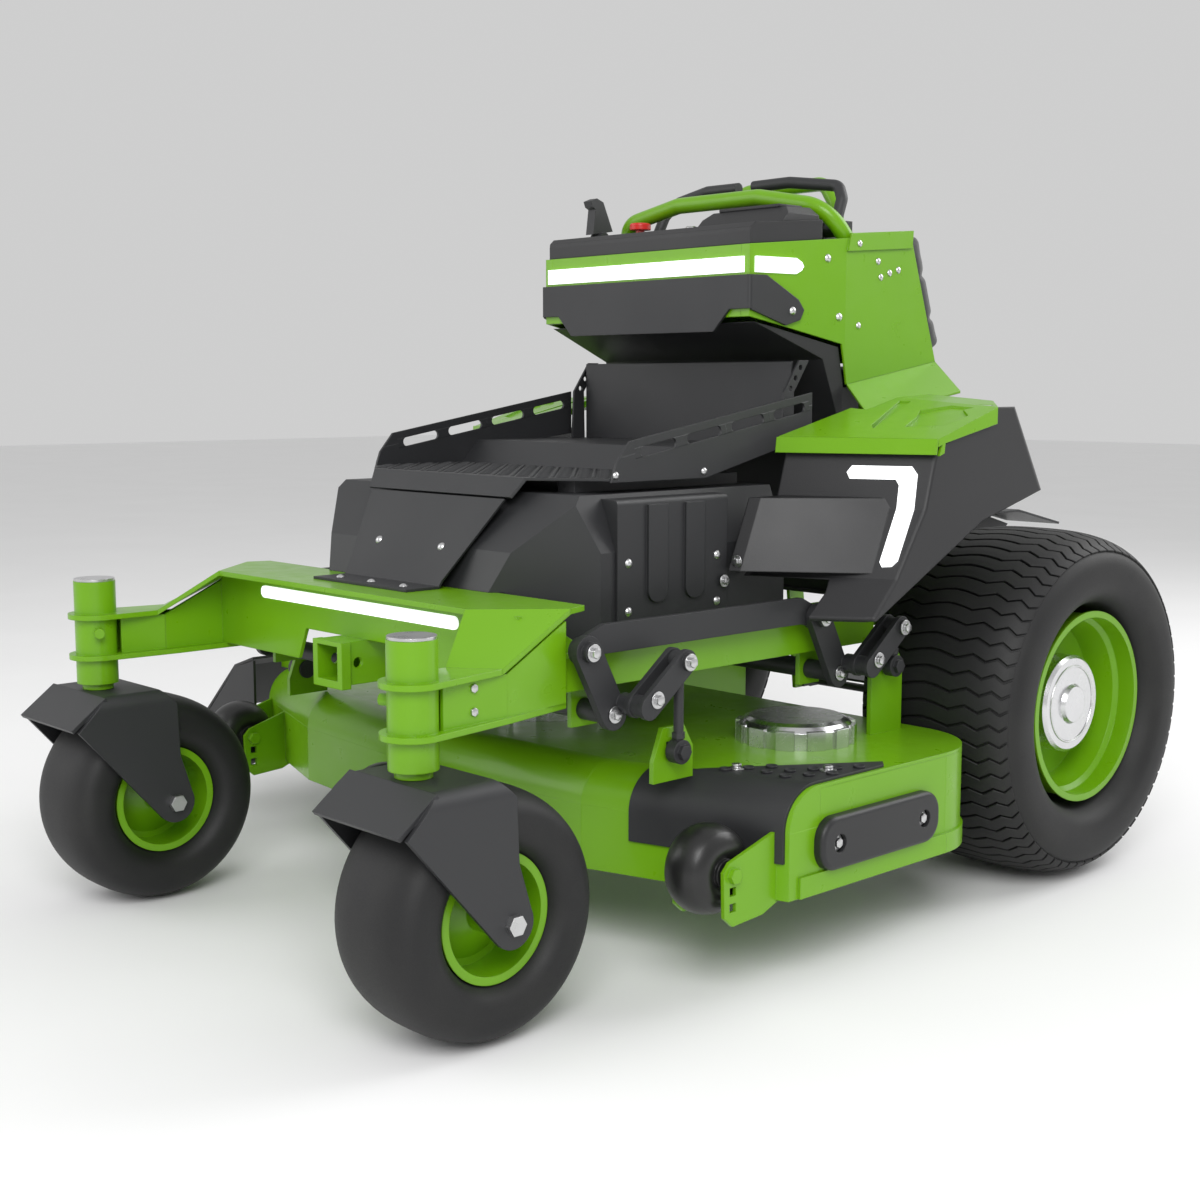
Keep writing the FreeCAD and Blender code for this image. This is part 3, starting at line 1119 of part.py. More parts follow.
def tower_plan(depth):
    """Plan of the tower: a narrower nose that widens to the full width."""
    return inset([(-NOSE_HALF, NOSE_Y), (NOSE_HALF, NOSE_Y), (TOWER_HALF, TOWER_FLARE_Y), (TOWER_HALF, 1300),
                  (-TOWER_HALF, 1300), (-TOWER_HALF, TOWER_FLARE_Y)], depth)


TOWER_SIDE = [(NOSE_Y, 932), (850, 922), (999, 891), (1012, 825), TOWER_BACK_LOW, TOWER_TOP_REAR,
              (NOSE_Y, TOWER_TOP_FRONT)]


def control_tower():
    """Green sheet-metal tower, open below, with flared skirts and raised brackets at its top rear."""
    outer = prism("x", TOWER_SIDE, (-300, 300)).common(prism("z", tower_plan(0), (700, 1200)))
    hollow = inset(TOWER_SIDE, SHELL)
    lowered = [(y, z - 24 if index < 5 else z) for index, (y, z) in enumerate(hollow)]
    inner = prism("x", lowered, (-300, 300)).common(prism("z", tower_plan(SHELL), (600, 1200)))
    shell = outer.cut(inner)
    skirt = ramp([(TOWER_HALF, 1012, 825), (TOWER_HALF, TOWER_BACK_LOW[0], TOWER_BACK_LOW[1])],
                 [(SKIRT_HALF, 968, 776), (SKIRT_HALF, 1222, 814)], SHELL)
    bracket = prism("x", [(1006, 1042), (1180, 1056), (1182, 1086), (1014, 1072)],
                    (TOWER_HALF, TOWER_HALF + 4))
    walls = separate(split(shell, [block((TOWER_HALF - 45, 300), (700, 1300), (600, 1200)),
                                   block((-300, -TOWER_HALF + 45), (700, 1300), (600, 1200))]))
    return walls + both(skirt, bracket)


def side_strip(outline, low, high):
    """Plate that follows the tower's side between two distances out from its surface."""
    plan = [(NOSE_HALF, NOSE_Y), (TOWER_HALF, TOWER_FLARE_Y)]
    strip = shifted_lines(plan, -low, False) + shifted_lines(plan, -high, False)[::-1]
    return prism("x", outline, (200, 320)).common(prism("z", strip, (800, 1200)))


def tower_bumper():
    """Charcoal plate across the nose whose ends wrap round to an ear on each side."""
    front = prism("y", [(-NOSE_HALF, 997), (NOSE_HALF, 997), (NOSE_HALF, 944), (204, 944), (170, 909),
                        (-170, 909), (-204, 944), (-NOSE_HALF, 944)], (NOSE_Y - 6, NOSE_Y - 1))
    ear = side_strip([(NOSE_Y - 6, 944), (870, 919), (900, 928), (908, 944), (896, 960), (828, 997),
                      (NOSE_Y - 6, 997)], 1, 6)
    corner = bar((NOSE_HALF, NOSE_Y - 0.5, 944), (NOSE_HALF, NOSE_Y - 0.5, 997), 5.5)
    corner = corner.cut(block((0, NOSE_HALF), (700, 900), (900, 1000)))
    corner = corner.cut(prism("z", tower_plan(-1), (900, 1000)))
    whole = front.fuse(both(ear, corner))
    return separate([whole])


def tower_cowl():
    """Black moulded cowl that closes the tower's underside in front and slopes back to the tray."""
    outline = [(812, 924), (961, 866), (1008, 738), (1050, 738), (1050, 820), (1008, 820), (995, 886),
               (850, 917)]
    half = TOWER_HALF - SHELL - SEAT
    outer = prism("x", outline, (-half, half)).common(prism("z", tower_plan(SHELL + SEAT), (700, 1200)))
    hollow = [(y, z + 14 if index > 3 else z) for index, (y, z) in enumerate(inset(outline, SHELL))]
    inner = prism("x", hollow, (SHELL - half, half - SHELL)).common(prism("z", tower_plan(SHELL * 2 + SEAT),
                                                                          (700, 1200)))
    return separate([outer.cut(inner)])


def tower_lights():
    """Five front lamp segments and one with a round rear end on each side."""
    lamps = []
    width = (2 * NOSE_HALF - 22) / 5
    for index in range(5):
        low = -NOSE_HALF + 10 + index * (width + 1)
        lamps.append(block((low, low + width - 3), (NOSE_Y - 4, NOSE_Y), (1001, 1026)))
    side = side_strip([(808, 1001), (892, 1001), (904, 1007), (908, 1013.5), (904, 1020), (892, 1026),
                       (808, 1026)], 0, 4)
    return lamps + both(side)


def console_top():
    """Dark console on the front of the tower's top, cut back at the sides for the levers and the grab bar."""
    rear = 1090
    outline = [(NOSE_Y + 2, tower_top(NOSE_Y + 2)), (rear, tower_top(rear)), (rear, tower_top(rear) + 6),
               (1000, 1094),
               (NOSE_Y + 16, 1080), (NOSE_Y + 6, 1072)]
    form = prism("x", outline, (-262, 262)).common(prism("z", tower_plan(5), (1000, 1200)))
    rebate = block((LEVER_X - 26, 300), (956, 1100), (1000, 1200))
    x, y = STOP_PLACE
    button_hole = bar((x, y, 1000), (x, y, 1200), 15)
    blade_slot = block((-296, -262), (930, 1000), (1000, 1200))
    form = form.cut(both(rebate) + [button_hole, blade_slot])
    return separate(split(form, [block((-400, 400), (956, 1200), (1000, 1200))]))


def display_pod():
    """Display housing on the console, its screen sloping towards the operator."""
    slope = (1094 - 1080) / (1000 - NOSE_Y - 16)
    y = (872.0, 966.0)
    base = [1080 + (value - NOSE_Y - 16) * slope for value in y]
    side_view = prism("x", [(y[0], base[0]), (y[1], base[1]), (y[1] - 6, 1112), (y[0] + 26, 1110)], (56, 244))
    front_view = prism("y", [(50, 1000), (250, 1000), (250, 1094), (226, 1114), (76, 1114), (50, 1094)],
                       (860, 1010))
    return [side_view.common(front_view)]


def above_tower(shape):
    """The part of a shape above the tower's top."""
    return shape.cut(prism("x", [(700, 900), (1300, 900), (1300, tower_top(1300)), (700, tower_top(700))],
                           (-300, 300)))


def reference_bar():
    """Green grab bar that bows forward across the console, on a foot at each side."""
    points = [(254, 1040, 1050), (242, 986, 1114), (95, 984, 1141), (-95, 984, 1141), (-242, 986, 1114),
              (-254, 1040, 1050)]
    return [above_tower(pipe(points, BAR_RADIUS, 60))]


def rear_hoop():
    """Green hoop behind the grab bar, on two posts."""
    points = [(134, 1138, 1060), (134, 1148, 1130), (95, 1160, 1178), (-95, 1160, 1178), (-134, 1148, 1130),
              (-134, 1138, 1060)]
    return [above_tower(pipe(points, HOOP_RADIUS, 34))]


def hip_pad():
    """Cushion on the tower's sloping back."""
    low = V(0, *TOWER_BACK_LOW)
    high = V(0, *TOWER_TOP_REAR)
    up = (high - low).normalize()
    out = V(0, up.z, -up.y)
    corners = []
    for along, away in ((8, 0.4), (220, 0.4), (212, PAD_THICK), (18, PAD_THICK)):
        point = low + up * along + out * away
        corners.append((point.y, point.z))
    pad = prism("x", corners, (-PAD_HALF, PAD_HALF))
    return [rounded(pad, 10, lambda edge: not parallel_to("x")(edge))]


def rear_housing():
    """Charcoal lower cover behind the tower that holds the motor controllers."""
    outline = [(1062, 468), (1224, 468), (1250, 858), (1062, 828)]
    outer = prism("x", outline, (-238, 238))
    inner = prism("x", [(y, z - 8 if index < 2 else z) for index, (y, z) in enumerate(inset(outline, SHELL))],
                  (-238 + SHELL, 238 - SHELL))
    return [outer.cut(inner)]


def motor_controllers():
    """Finned controllers, one for each drive wheel and one for the blades."""
    units = []
    for x in (-150, 0, 150):
        body = block((x - 60, x + 60), (1100, 1160), (500, 700))
        fins = [block((x - 58 + 16 * k, x - 52 + 16 * k), (1160, 1180), (505, 695)) for k in range(8)]
        foot = block((x - 40, x + 40), (1110, 1150), (RAIL_Z[1] + 6, 500))
        units.append(body.fuse(fins + [foot]))
    return units


def tower_floor():
    """Cross plate on the rear rails that carries the rear housing."""
    half = REAR_RAIL_X + RAIL_WIDTH / 2
    return [block((-half, half), (1055, 1235), (RAIL_Z[1], RAIL_Z[1] + 6))]


# ---------------------------------------------------------------- side pods

def pod_form(grow):
    """Closed form of the left side pod, grown outwards by a distance; a chamfer trims its rear outer edge."""
    front = [(885, 720), (861, 638), (795, 538), (723, 465)]
    swept = [(y - POD_SWEEP, z) for y, z in front]
    near = [(y - POD_SWEEP * (POD_X[2] - POD_X[1]) / (POD_X[2] - POD_X[0]), z) for y, z in front]
    rings = []
    for x, edge, rear in ((POD_X[0] - grow, swept, [(1012, 612), (1205, 657), (1118, 800), (1042, 800),
                                                    (1036, 789)]),
                          (POD_X[1], near, [(1012, 612), (1205, 657), (1118, 793), (1042, 792), (1036, 778)]),
                          (POD_X[2] + grow, front, [(1012, 612), (1170, 654), (1087, 789), (1042, 789),
                                                    (1036, 776)])):
        outline = edge[-1:] + rear + [(edge[0][0] + 3, 732)] + edge[:-1]
        rings.append([(x, y, z) for y, z in inset(outline, -grow)])
    return loft(*rings)


def pod_panels():
    """Dark side pods over the drive wheels, open towards the frame."""
    inner = POD_X[0] - 1
    outside = rounded(pod_form(0), POD_ROUND, lambda edge: edge.Length > 60)
    shell = outside.cut(pod_form(-SHELL))
    shell = shell.cut(block((inner, POD_X[0] + SHELL), (600, 1300), (400, 900)))
    shell = shell.cut(prism("y", [(inner, 400), (FLAP_X - 12, 400), (FLAP_X, 516), (FLAP_X - 6, 534),
                                  (inner, 534)],
                            (600, 900)))
    shell = shell.cut(block((inner, SKIRT_HALF + 6), (940, 1300), (764, 900)))
    shell = shell.cut(pod_nose_form(0))
    deep = (600, 1300)
    cells = [prism("x", [(600, 400), (723 + SHELL, 400), (723 + SHELL, 465), (795 + SHELL + 1, 538),
                         (861 + SHELL, 638),
                         (885 + SHELL, 720), (888 + SHELL, 732), (600, 732)], (300, POD_X[2] - SHELL)),
             block((POD_X[2] - SHELL, 560), deep, (400, 900))]
    return both(*separate(split(shell, cells)))


def pod_nose_form(depth):
    """Closed form of the faceted box on the front of the left pod, moved inwards by depth."""
    low = [(334, 655), (352, 662), (506, 783), (506, 860), (334, 860)]
    high = [(334, 700), (352, 707), (492, 848), (492, 900), (334, 900)]
    rings = []
    for outline, z in ((low, NOSE_Z[0] + depth), (high, NOSE_Z[1] - depth)):
        rings.append([(x, y, z) for x, y in inset(outline, depth)])
    return loft(*rings)


def pod_nose_covers():
    """Faceted dark boxes in front of the pods, open to the rear."""
    box = pod_nose_form(0).cut(pod_nose_form(SHELL))
    box = box.cut(pod_form(-SHELL))
    return both(*[max(box.Solids, key=lambda solid: solid.Volume)])


def cover_height(x, y):
    """Height of the rising part of a pod's top cover, taken as a plane."""
    return COVER_CORNER[1] - (x - POD_X[2]) * COVER_FALL + (y - COVER_CORNER[0]) * COVER_RISE


def pod_top_covers():
    """Green moulded covers on the pods: a front lip, a rising top, a flat rear and an outer flange."""
    low, high = POD_X[0] - 2, POD_X[2] + 6
    lip = [(low, 785, 720), (high, 884, 720), (high, 887, 744), (low, 788, 744)]
    front = [(low, 782, 745), (high, 881, 744)]
    crest = [(low, 1040, 806), (high, 1034, 790)]
    rear = [(low, 1132, 811), (500, 1096, 799)]
    slope = ramp(front, crest, COVER_DEPTH)
    for plan in COVER_RECESSES:
        floor = [(x, y, cover_height(x, y) - RECESS_DEPTH) for x, y in plan]
        slope = slope.cut(loft(floor, [(x, y, z + 20) for x, y, z in floor]))
    flat = ramp(crest, rear, COVER_SHEET)
    front_lip = loft([(x, y - 6.5, z) for x, y, z in lip], [(x, y - 11, z) for x, y, z in lip])
    flange = prism("x", [(884, 718), (896, 722), (898, 737), (1034, 764), (1034, 785), (892, 740)],
                   (POD_X[2] + 1, high)).cut(slope)
    clear = block((300, SKIRT_HALF + 4), (960, 1300), (764, 900))
    form = pod_form(0.5)
    return both(*separate([piece.cut(clear).cut(form) for piece in (slope, flat, front_lip, flange)]))


def pod_lights():
    """Light strips shaped like a seven on the pods' slanting front panels."""
    outline = [(430, 702), (424, 692), (430, 682), (496, 682), (502, 674), (512, 562), (518, 555), (530, 556),
               (535, 564), (524, 690), (514, 702)]
    band = pod_form(3).cut(pod_form(0.2))
    lamp = prism("y", outline, (700, 940)).common(band).cut(pod_nose_form(-0.5))
    return both(*[max(lamp.Solids, key=lambda solid: solid.Volume)])


def leg_guards():
    """Bent guards between the standing place and the tyres."""
    inner = REAR_RAIL_X - 40
    upright = prism("x", [(1250, RAIL_Z[1]), (1440, RAIL_Z[1]), (1556, 560), (1420, 596), (1250, 596)],
                    (inner, inner + 4))
    shelf = prism("x", sheet([(1250, 596), (1420, 596), (1556, 566)], 4), (inner, 346))
    foot = block((inner, REAR_RAIL_X), (1262, 1430), (RAIL_Z[1], RAIL_Z[1] + 4))
    return both(upright.fuse([shelf, foot]).removeSplitter())


# ---------------------------------------------------------------- controls and platform

def drive_lever(side):
    """Black bent lever with its pivot barrel; the left and right ones meet at the middle."""
    y, z = LEVER_PIVOT
    points = [(LEVER_X, y, z + 10), (LEVER_X - 3, y + 20, z + 52), (191, y + 34, z + 76),
              (97, y + 16, z + 88),
              (18, y + 12, z + 87)]
    lever = pipe(points, LEVER_RADIUS, 20)
    barrel = bar((LEVER_X - 18, y, z), (LEVER_X + 18, y, z), 13)
    whole = lever.fuse(barrel)
    return [whole if side > 0 else mirrored(whole)]


def lever_stands():
    """Bearing cheeks on both sides of the drive levers' barrels."""
    y, z = LEVER_PIVOT
    outline = [(y - 14, tower_top(y - 14)), (y + 14, tower_top(y + 14)), (y + 14, z + 12), (y - 14, z + 12)]
    return both(*[prism("x", outline, (x, x + 6)) for x in (LEVER_X - 18.5 - 6, LEVER_X + 18.5)])


def blade_lever():
    """Flat angled lever that engages the blades, on the console's right side."""
    handle = prism("x", [(940, 1100), (966, 1104), (990, 1108), (966, 1160), (950, 1166), (934, 1160),
                         (938, 1150),
                         (946, 1146)], (-292, -272))
    barrel = bar((-292, 962, 1094), (-264, 962, 1094), 11)
    return [handle.fuse(barrel)]


def stop_button():
    """Red mushroom button on its plunger."""
    x, y = STOP_PLACE
    cap = bar((x, y, STOP_Z + 8), (x, y, STOP_Z + 20), 19)
    cap = rounded(cap, 4, lambda edge: edge.BoundBox.ZMin > STOP_Z + 19)
    return [cap.fuse(bar((x, y, STOP_Z - 8), (x, y, STOP_Z + 8), 8))]


def stop_collar():
    """Collar of the stop button in the console."""
    x, y = STOP_PLACE
    return [tube((x, y, STOP_Z - 12), (x, y, STOP_Z), 15, 8 + RUN_FIT)]


def platform():
    """Folding platform: tread plate with side flanges, on a hinge tube."""
    low = PLATFORM_Z - PLATFORM_THICK
    plate = block((-PLATFORM_HALF, PLATFORM_HALF), PLATFORM_Y, (PLATFORM_Z - 5, PLATFORM_Z))
    flanges = [block((-PLATFORM_HALF, -PLATFORM_HALF + 5), PLATFORM_Y, (low - 14, PLATFORM_Z)),
               block((PLATFORM_HALF - 5, PLATFORM_HALF), PLATFORM_Y, (low - 14, PLATFORM_Z)),
               block((-PLATFORM_HALF, PLATFORM_HALF), (PLATFORM_Y[1] - 5, PLATFORM_Y[1]),
                     (low - 14, PLATFORM_Z))]
    ears = []
    for x in (-PLATFORM_HALF, PLATFORM_HALF - 5):
        ears.append(block((x, x + 5), (HINGE_Y - 14, PLATFORM_Y[0]), (HINGE_Z - 14, PLATFORM_Z - 6)))
    pin = bar((-PLATFORM_HALF - 16, HINGE_Y, HINGE_Z), (PLATFORM_HALF + 16, HINGE_Y, HINGE_Z), HINGE_PIN)
    return trimmed([pin, plate] + flanges + ears)


def frame_fasteners():
    """Dome bolts on the covers, the tower, the tray and the step panel."""
    bolts = []
    for y, z in ((454, 500), (640, 500), (454, 570), (640, 570)):
        bolts += both(dome_bolt((HOUSING_HALF + 5, y, z), (1, 0, 0), 7))
    bolts += both(dome_bolt((TOWER_HALF + 4, 1035, 1056), (1, 0, 0), 6))
    run = V(TOWER_HALF - NOSE_HALF, TOWER_FLARE_Y - NOSE_Y, 0)
    for y, z, proud in ((883, 942, 6.2), (964, 1029, 0), (991, 935, 0)):
        x = NOSE_HALF + (y - NOSE_Y) * run.x / run.y + proud
        bolts += both(dome_bolt((x, y, z), (run.y, -run.x, 0), 7))
    for y, z in ((1090, 1030), (1098, 1004), (1122, 1012), (1146, 1018), (1040, 922)):
        bolts += both(dome_bolt((TOWER_HALF, y, z), (1, 0, 0), 6))
    for y, z in ((449 + 12, 694), (646, 694)):
        bolts += both(dome_bolt((TRAY_HALF + TRAY_SHEET, y, z), (1, 0, 0), 6))
    for x in (-80, 0, 80):
        bolts.append(dome_bolt((x, 236, BEAM_TOP_Z + 4), (0, 0, 1), 7))
    bolts += both(dome_bolt((78, 306.7, 587.1), (0, -127, 88), 7))
    return bolts


LEFT = 1
RIGHT = -1
NODES = {
    "main_frame": main_frame(),
    "front_beam": trimmed(front_beam()),
    "caster_bearings": caster_bearings() + caster_tube_caps(),
    "front_light_bar": front_light_bar(),
    "wheel_motors": wheel_motors(),
    "battery_housing": battery_housing(),
    "battery_pack": battery_pack(),
    "side_covers": side_covers(),
    "step_panel": step_panel(),
    "cargo_tray": cargo_tray(),
    "tray_sides": tray_sides() + tray_struts(),
    "control_tower": control_tower(),
    "tower_bumper": tower_bumper(),
    "tower_cowl": tower_cowl(),
    "marker_lights": tower_lights() + pod_lights(),
    "console_top": console_top() + lever_stands() + stop_collar(),
    "display_pod": display_pod(),
    "grab_bars": reference_bar() + rear_hoop(),
    "hip_pad": hip_pad(),
    "rear_housing": rear_housing() + tower_floor(),
    "motor_controllers": motor_controllers(),
    "pod_panels": pod_panels() + pod_nose_covers(),
    "pod_top_covers": pod_top_covers(),
    "leg_guards": leg_guards(),
    "frame_fasteners": frame_fasteners(),
    "caster_fork_left": caster_fork(LEFT),
    "caster_fork_right": caster_fork(RIGHT),
    "caster_axle_left": caster_axle(LEFT),
    "caster_axle_right": caster_axle(RIGHT),
    "caster_tyre_left": caster_tyre(LEFT),
    "caster_tyre_right": caster_tyre(RIGHT),
    "caster_rim_left": caster_rim(LEFT),
    "caster_rim_right": caster_rim(RIGHT),
    "drive_tyre_left": drive_tyre(LEFT),
    "drive_tyre_right": drive_tyre(RIGHT),
    "drive_rim_left": drive_rim(LEFT),
    "drive_rim_right": drive_rim(RIGHT),
    "drive_hub_left": drive_hub(LEFT),
    "drive_hub_right": drive_hub(RIGHT),
    "deck_shell": deck_shell() + deck_ears() + roller_brackets() + roller_pins() + chute_hinge(),
    "deck_step_plate": deck_step_plate(),
    "deck_bumper": deck_bumper(),
    "spindle_motors": spindle_motors(),
    "discharge_chute": discharge_chute(),
    "front_lift_crank": lift_crank(FRONT_PIVOT_Y),
    "rear_lift_crank": lift_crank(REAR_PIVOT_Y),
    "lift_bars": lift_bars(),
    "front_hangers": hangers(FRONT_PIVOT_Y, FRONT_HANGER),
    "rear_hangers": hangers(REAR_PIVOT_Y, REAR_HANGER),
    "drive_lever_left": drive_lever(LEFT),
    "drive_lever_right": drive_lever(RIGHT),
    "blade_lever": blade_lever(),
    "stop_button": stop_button(),
    "platform": platform(),
}
for place in ("left", "centre", "right"):
    NODES["blade_" + place] = blade(place)
    NODES["scalp_roller_" + place] = scalp_roller(place)

whole = Part.makeCompound([solid for solids in NODES.values() for solid in solids])
bounds = whole.optimalBoundingBox(True, False)
origin = V((bounds.XMin + bounds.XMax) / 2, (bounds.YMin + bounds.YMax) / 2, bounds.ZMin)
print("origin at", origin, "size", bounds.XLength, bounds.YLength, bounds.ZLength, len(NODES), "nodes")

os.makedirs("parts", exist_ok=True)
for name, solids in NODES.items():
    part = Part.makeCompound(solids)
    part.translate(origin * -1)
    if not part.isValid():
        print("INVALID", name)
    part.exportStep("parts/" + name + ".step")
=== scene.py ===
# %% [markdown]
# # A stand-on mower around its engineering frame
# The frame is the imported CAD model, in metres. It is never moved. What follows gives its parts their
# finishes and adds what the drawings leave out: tread, a cushion, bolts, grip surfaces and a display.

# %% Load the frame
import json
import math

import bpy
from mathutils import Matrix, Vector


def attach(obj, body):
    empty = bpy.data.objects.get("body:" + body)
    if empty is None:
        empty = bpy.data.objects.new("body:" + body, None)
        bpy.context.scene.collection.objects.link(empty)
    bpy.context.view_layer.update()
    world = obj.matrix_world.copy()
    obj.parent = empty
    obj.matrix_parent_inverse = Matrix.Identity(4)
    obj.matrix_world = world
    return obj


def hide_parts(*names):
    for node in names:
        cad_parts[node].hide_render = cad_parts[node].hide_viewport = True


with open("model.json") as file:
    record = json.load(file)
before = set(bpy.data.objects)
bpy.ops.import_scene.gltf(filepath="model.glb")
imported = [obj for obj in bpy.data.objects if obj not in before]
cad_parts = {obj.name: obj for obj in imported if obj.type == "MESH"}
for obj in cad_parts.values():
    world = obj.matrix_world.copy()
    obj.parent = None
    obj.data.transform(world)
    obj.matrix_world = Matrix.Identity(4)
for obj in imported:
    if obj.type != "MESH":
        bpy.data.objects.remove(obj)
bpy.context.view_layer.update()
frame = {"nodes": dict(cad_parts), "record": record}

# %% [markdown]
# ## Where things are
# The machine was drawn in millimetres from the ground under the caster pivots, with x to its left and y to
# its rear. `at` turns such a place into metres in the frame, whose origin is at the bottom centre of it all.

# %% Drawing places
ORIGIN_MM = Vector((-137.7, 835.0, 0.0))
MM = 0.001
SIDES = {"left": 1, "right": -1}


def at(x, y, z):
    """Place in the frame, in metres, of a point drawn in millimetres."""
    return (Vector((x, y, z)) - ORIGIN_MM) * MM


print("the front of the beam is at", at(0, 200, 500))

# %% [markdown]
# ## Shader maths as Python
# A finish is built from nodes. `Channel` wraps the socket that a node gives out, so that arithmetic reads
# like arithmetic and adds the Math nodes by itself. `Finish.node` makes every other node.


# %% The finish builder
class Channel:
    """What one socket gives out. Arithmetic on it adds Math nodes."""

    def __init__(self, finish, socket):
        self.finish = finish
        self.socket = socket

    def combine(self, operation, first, second):
        """Adds a Math node on two values or channels."""
        return self.finish.node("ShaderNodeMath", {"operation": operation}, {0: first, 1: second})

    def __add__(self, other):
        return self.combine("ADD", self, other)

    def __sub__(self, other):
        return self.combine("SUBTRACT", self, other)

    def __rsub__(self, other):
        return self.combine("SUBTRACT", other, self)

    def __mul__(self, other):
        return self.combine("MULTIPLY", self, other)

    __radd__ = __add__
    __rmul__ = __mul__


class Finish:
    """One material. Its nodes are made by the node method."""

    def __init__(self, name):
        self.material = bpy.data.materials.new(name)
        self.material.use_nodes = True
        self.tree = self.material.node_tree
        self.shader = self.tree.nodes["Principled BSDF"]
        self.place = self.node("ShaderNodeTexCoord", {}, {}, "Object")

    def feed(self, socket, value):
        """Links a channel to a socket, or sets a plain value on it."""
        if isinstance(value, Channel):
            self.tree.links.new(value.socket, socket)
        else:
            socket.default_value = value

    def node(self, kind, settings, inputs, output=0):
        """Makes a node: its settings first, then the values or links of its sockets."""
        made = self.tree.nodes.new(kind)
        for key, value in settings.items():
            setattr(made, key, value)
        for key, value in inputs.items():
            self.feed(made.inputs[key], value)
        return Channel(self, made.outputs[output])

    def set(self, **sockets):
        """Feeds sockets of the shader; an underscore stands for a space in a socket's name."""
        for key, value in sockets.items():
            self.feed(self.shader.inputs[key.replace("_", " ")], value)

    def noise(self, scale, detail=2.0):
        """Soft noise with about scale lumps to the metre."""
        inputs = {"Vector": self.place, "Scale": scale, "Detail": detail}
        return self.node("ShaderNodeTexNoise", {}, inputs)

    def cells(self, scale):
        """Distance to the nearest of scattered points, about scale of them to the metre."""
        return self.node("ShaderNodeTexVoronoi", {}, {"Vector": self.place, "Scale": scale}, "Distance")

    def blend(self, share, first, second):
        """Colour between two others: share 0 gives the first and 1 the second."""
        settings = {"data_type": "RGBA"}
        return self.node("ShaderNodeMix", settings, {0: share, 6: (*first, 1), 7: (*second, 1)}, 2)

    def limits(self, value, low, high, new_low, new_high):
        """Maps a range of values to a new one and holds the result inside it."""
        inputs = {"Value": value, "From Min": low, "From Max": high, "To Min": new_low, "To Max": new_high}
        return self.node("ShaderNodeMapRange", {"clamp": True}, inputs)

    def relief(self, height, depth, strength=1.0, edge=0.0015):
        """Bump by a height, on edges rounded by a small radius."""
        inputs = {"Height": height, "Distance": depth, "Strength": strength}
        if edge:
            inputs["Normal"] = self.node("ShaderNodeBevel", {"samples": 4}, {"Radius": edge})
        self.set(Normal=self.node("ShaderNodeBump", {}, inputs))


print("finish builder ready")

# %% [markdown]
# ## Painted metal
# Powder coat flows a little as it bakes, so gloss paint has a faint orange-peel surface, and matt paint has
# a fine sandy grain. Both are bump from noise at a true scale. A broad, weak noise varies the tone.


# %% Paint finishes
def gloss_paint():
    """Green powder coat with a faint orange peel."""
    paint = Finish("green_paint")
    broad = paint.noise(4.0)
    peel = paint.noise(420.0)
    paint.set(Base_Color=paint.blend(broad, (0.135, 0.335, 0.003), (0.160, 0.385, 0.005)))
    paint.set(Roughness=paint.limits(paint.noise(30.0, 4.0), 0.3, 0.7, 0.27, 0.37))
    paint.set(Coat_Weight=0.12, Coat_Roughness=0.08, Specular_IOR_Level=0.35)
    paint.relief(peel, 0.0002, 0.35, 0.002)
    return paint.material


def sand_paint():
    """Matt charcoal powder coat with a sandy grain."""
    paint = Finish("charcoal_paint")
    grain = paint.noise(1400.0, 3.0)
    broad = paint.noise(6.0)
    tone = grain * 0.6 + broad * 0.4
    paint.set(Base_Color=paint.blend(tone, (0.014, 0.0145, 0.016), (0.03, 0.0305, 0.033)))
    paint.set(Roughness=paint.limits(broad, 0.3, 0.7, 0.42, 0.54))
    paint.relief(grain, 0.0003, 0.5, 0.0018)
    return paint.material


FINISHES = {"green_paint": gloss_paint(), "charcoal_paint": sand_paint()}
print("paints:", list(FINISHES))

# %% [markdown]
# ## Mouldings and rubber
# Moulded covers carry a leather-like grain from their tool, which cells of a Voronoi pattern give. Tyre
# rubber is the darkest finish, with fine pitting and a dusty bloom in patches.


# %% Plastic and rubber finishes
def grained(name, dark, light, roughness, scale, depth):
    """Moulded plastic whose tool had a leather-like grain of the given scale and depth."""
    plastic = Finish(name)
    cells = plastic.cells(scale)
    broad = plastic.noise(7.0)
    plastic.set(Base_Color=plastic.blend(broad * 0.5 + cells * 0.4, dark, light))
    plastic.set(Roughness=plastic.limits(broad, 0.3, 0.7, roughness - 0.03, roughness + 0.04))
    plastic.relief(cells, depth, 0.5, 0.0025)
    return plastic.material


def tyre_rubber():
    """Dark pitted rubber with a dusty bloom in patches."""
    rubber = Finish("tyre_rubber")
    pits = rubber.noise(900.0, 3.0)
    bloom = rubber.limits(rubber.noise(9.0, 4.0), 0.45, 0.75, 0.0, 1.0)
    rubber.set(Base_Color=rubber.blend(bloom, (0.0055, 0.0055, 0.006), (0.012, 0.0118, 0.0112)))
    rubber.set(Roughness=rubber.limits(pits, 0.3, 0.7, 0.52, 0.68))
    rubber.relief(pits, 0.0003, 0.4, 0.0)
    return rubber.material


PLASTICS = {
    "moulded_plastic": ((0.010, 0.010, 0.011), (0.021, 0.021, 0.023), 0.45, 900, 0.0002),
    "roller_plastic": ((0.008, 0.008, 0.008), (0.016, 0.016, 0.016), 0.34, 500, 0.0001),
    "battery_case": ((0.06, 0.06, 0.065), (0.1, 0.1, 0.105), 0.5, 600, 0.0002),
}
for name, values in PLASTICS.items():
    FINISHES[name] = grained(name, *values)
FINISHES["red_plastic"] = grained("red_plastic", (0.55, 0.012, 0.008), (0.68, 0.02, 0.012), 0.3, 300, 0.00005)
FINISHES["tyre_rubber"] = tyre_rubber()
print("mouldings:", sorted(FINISHES))

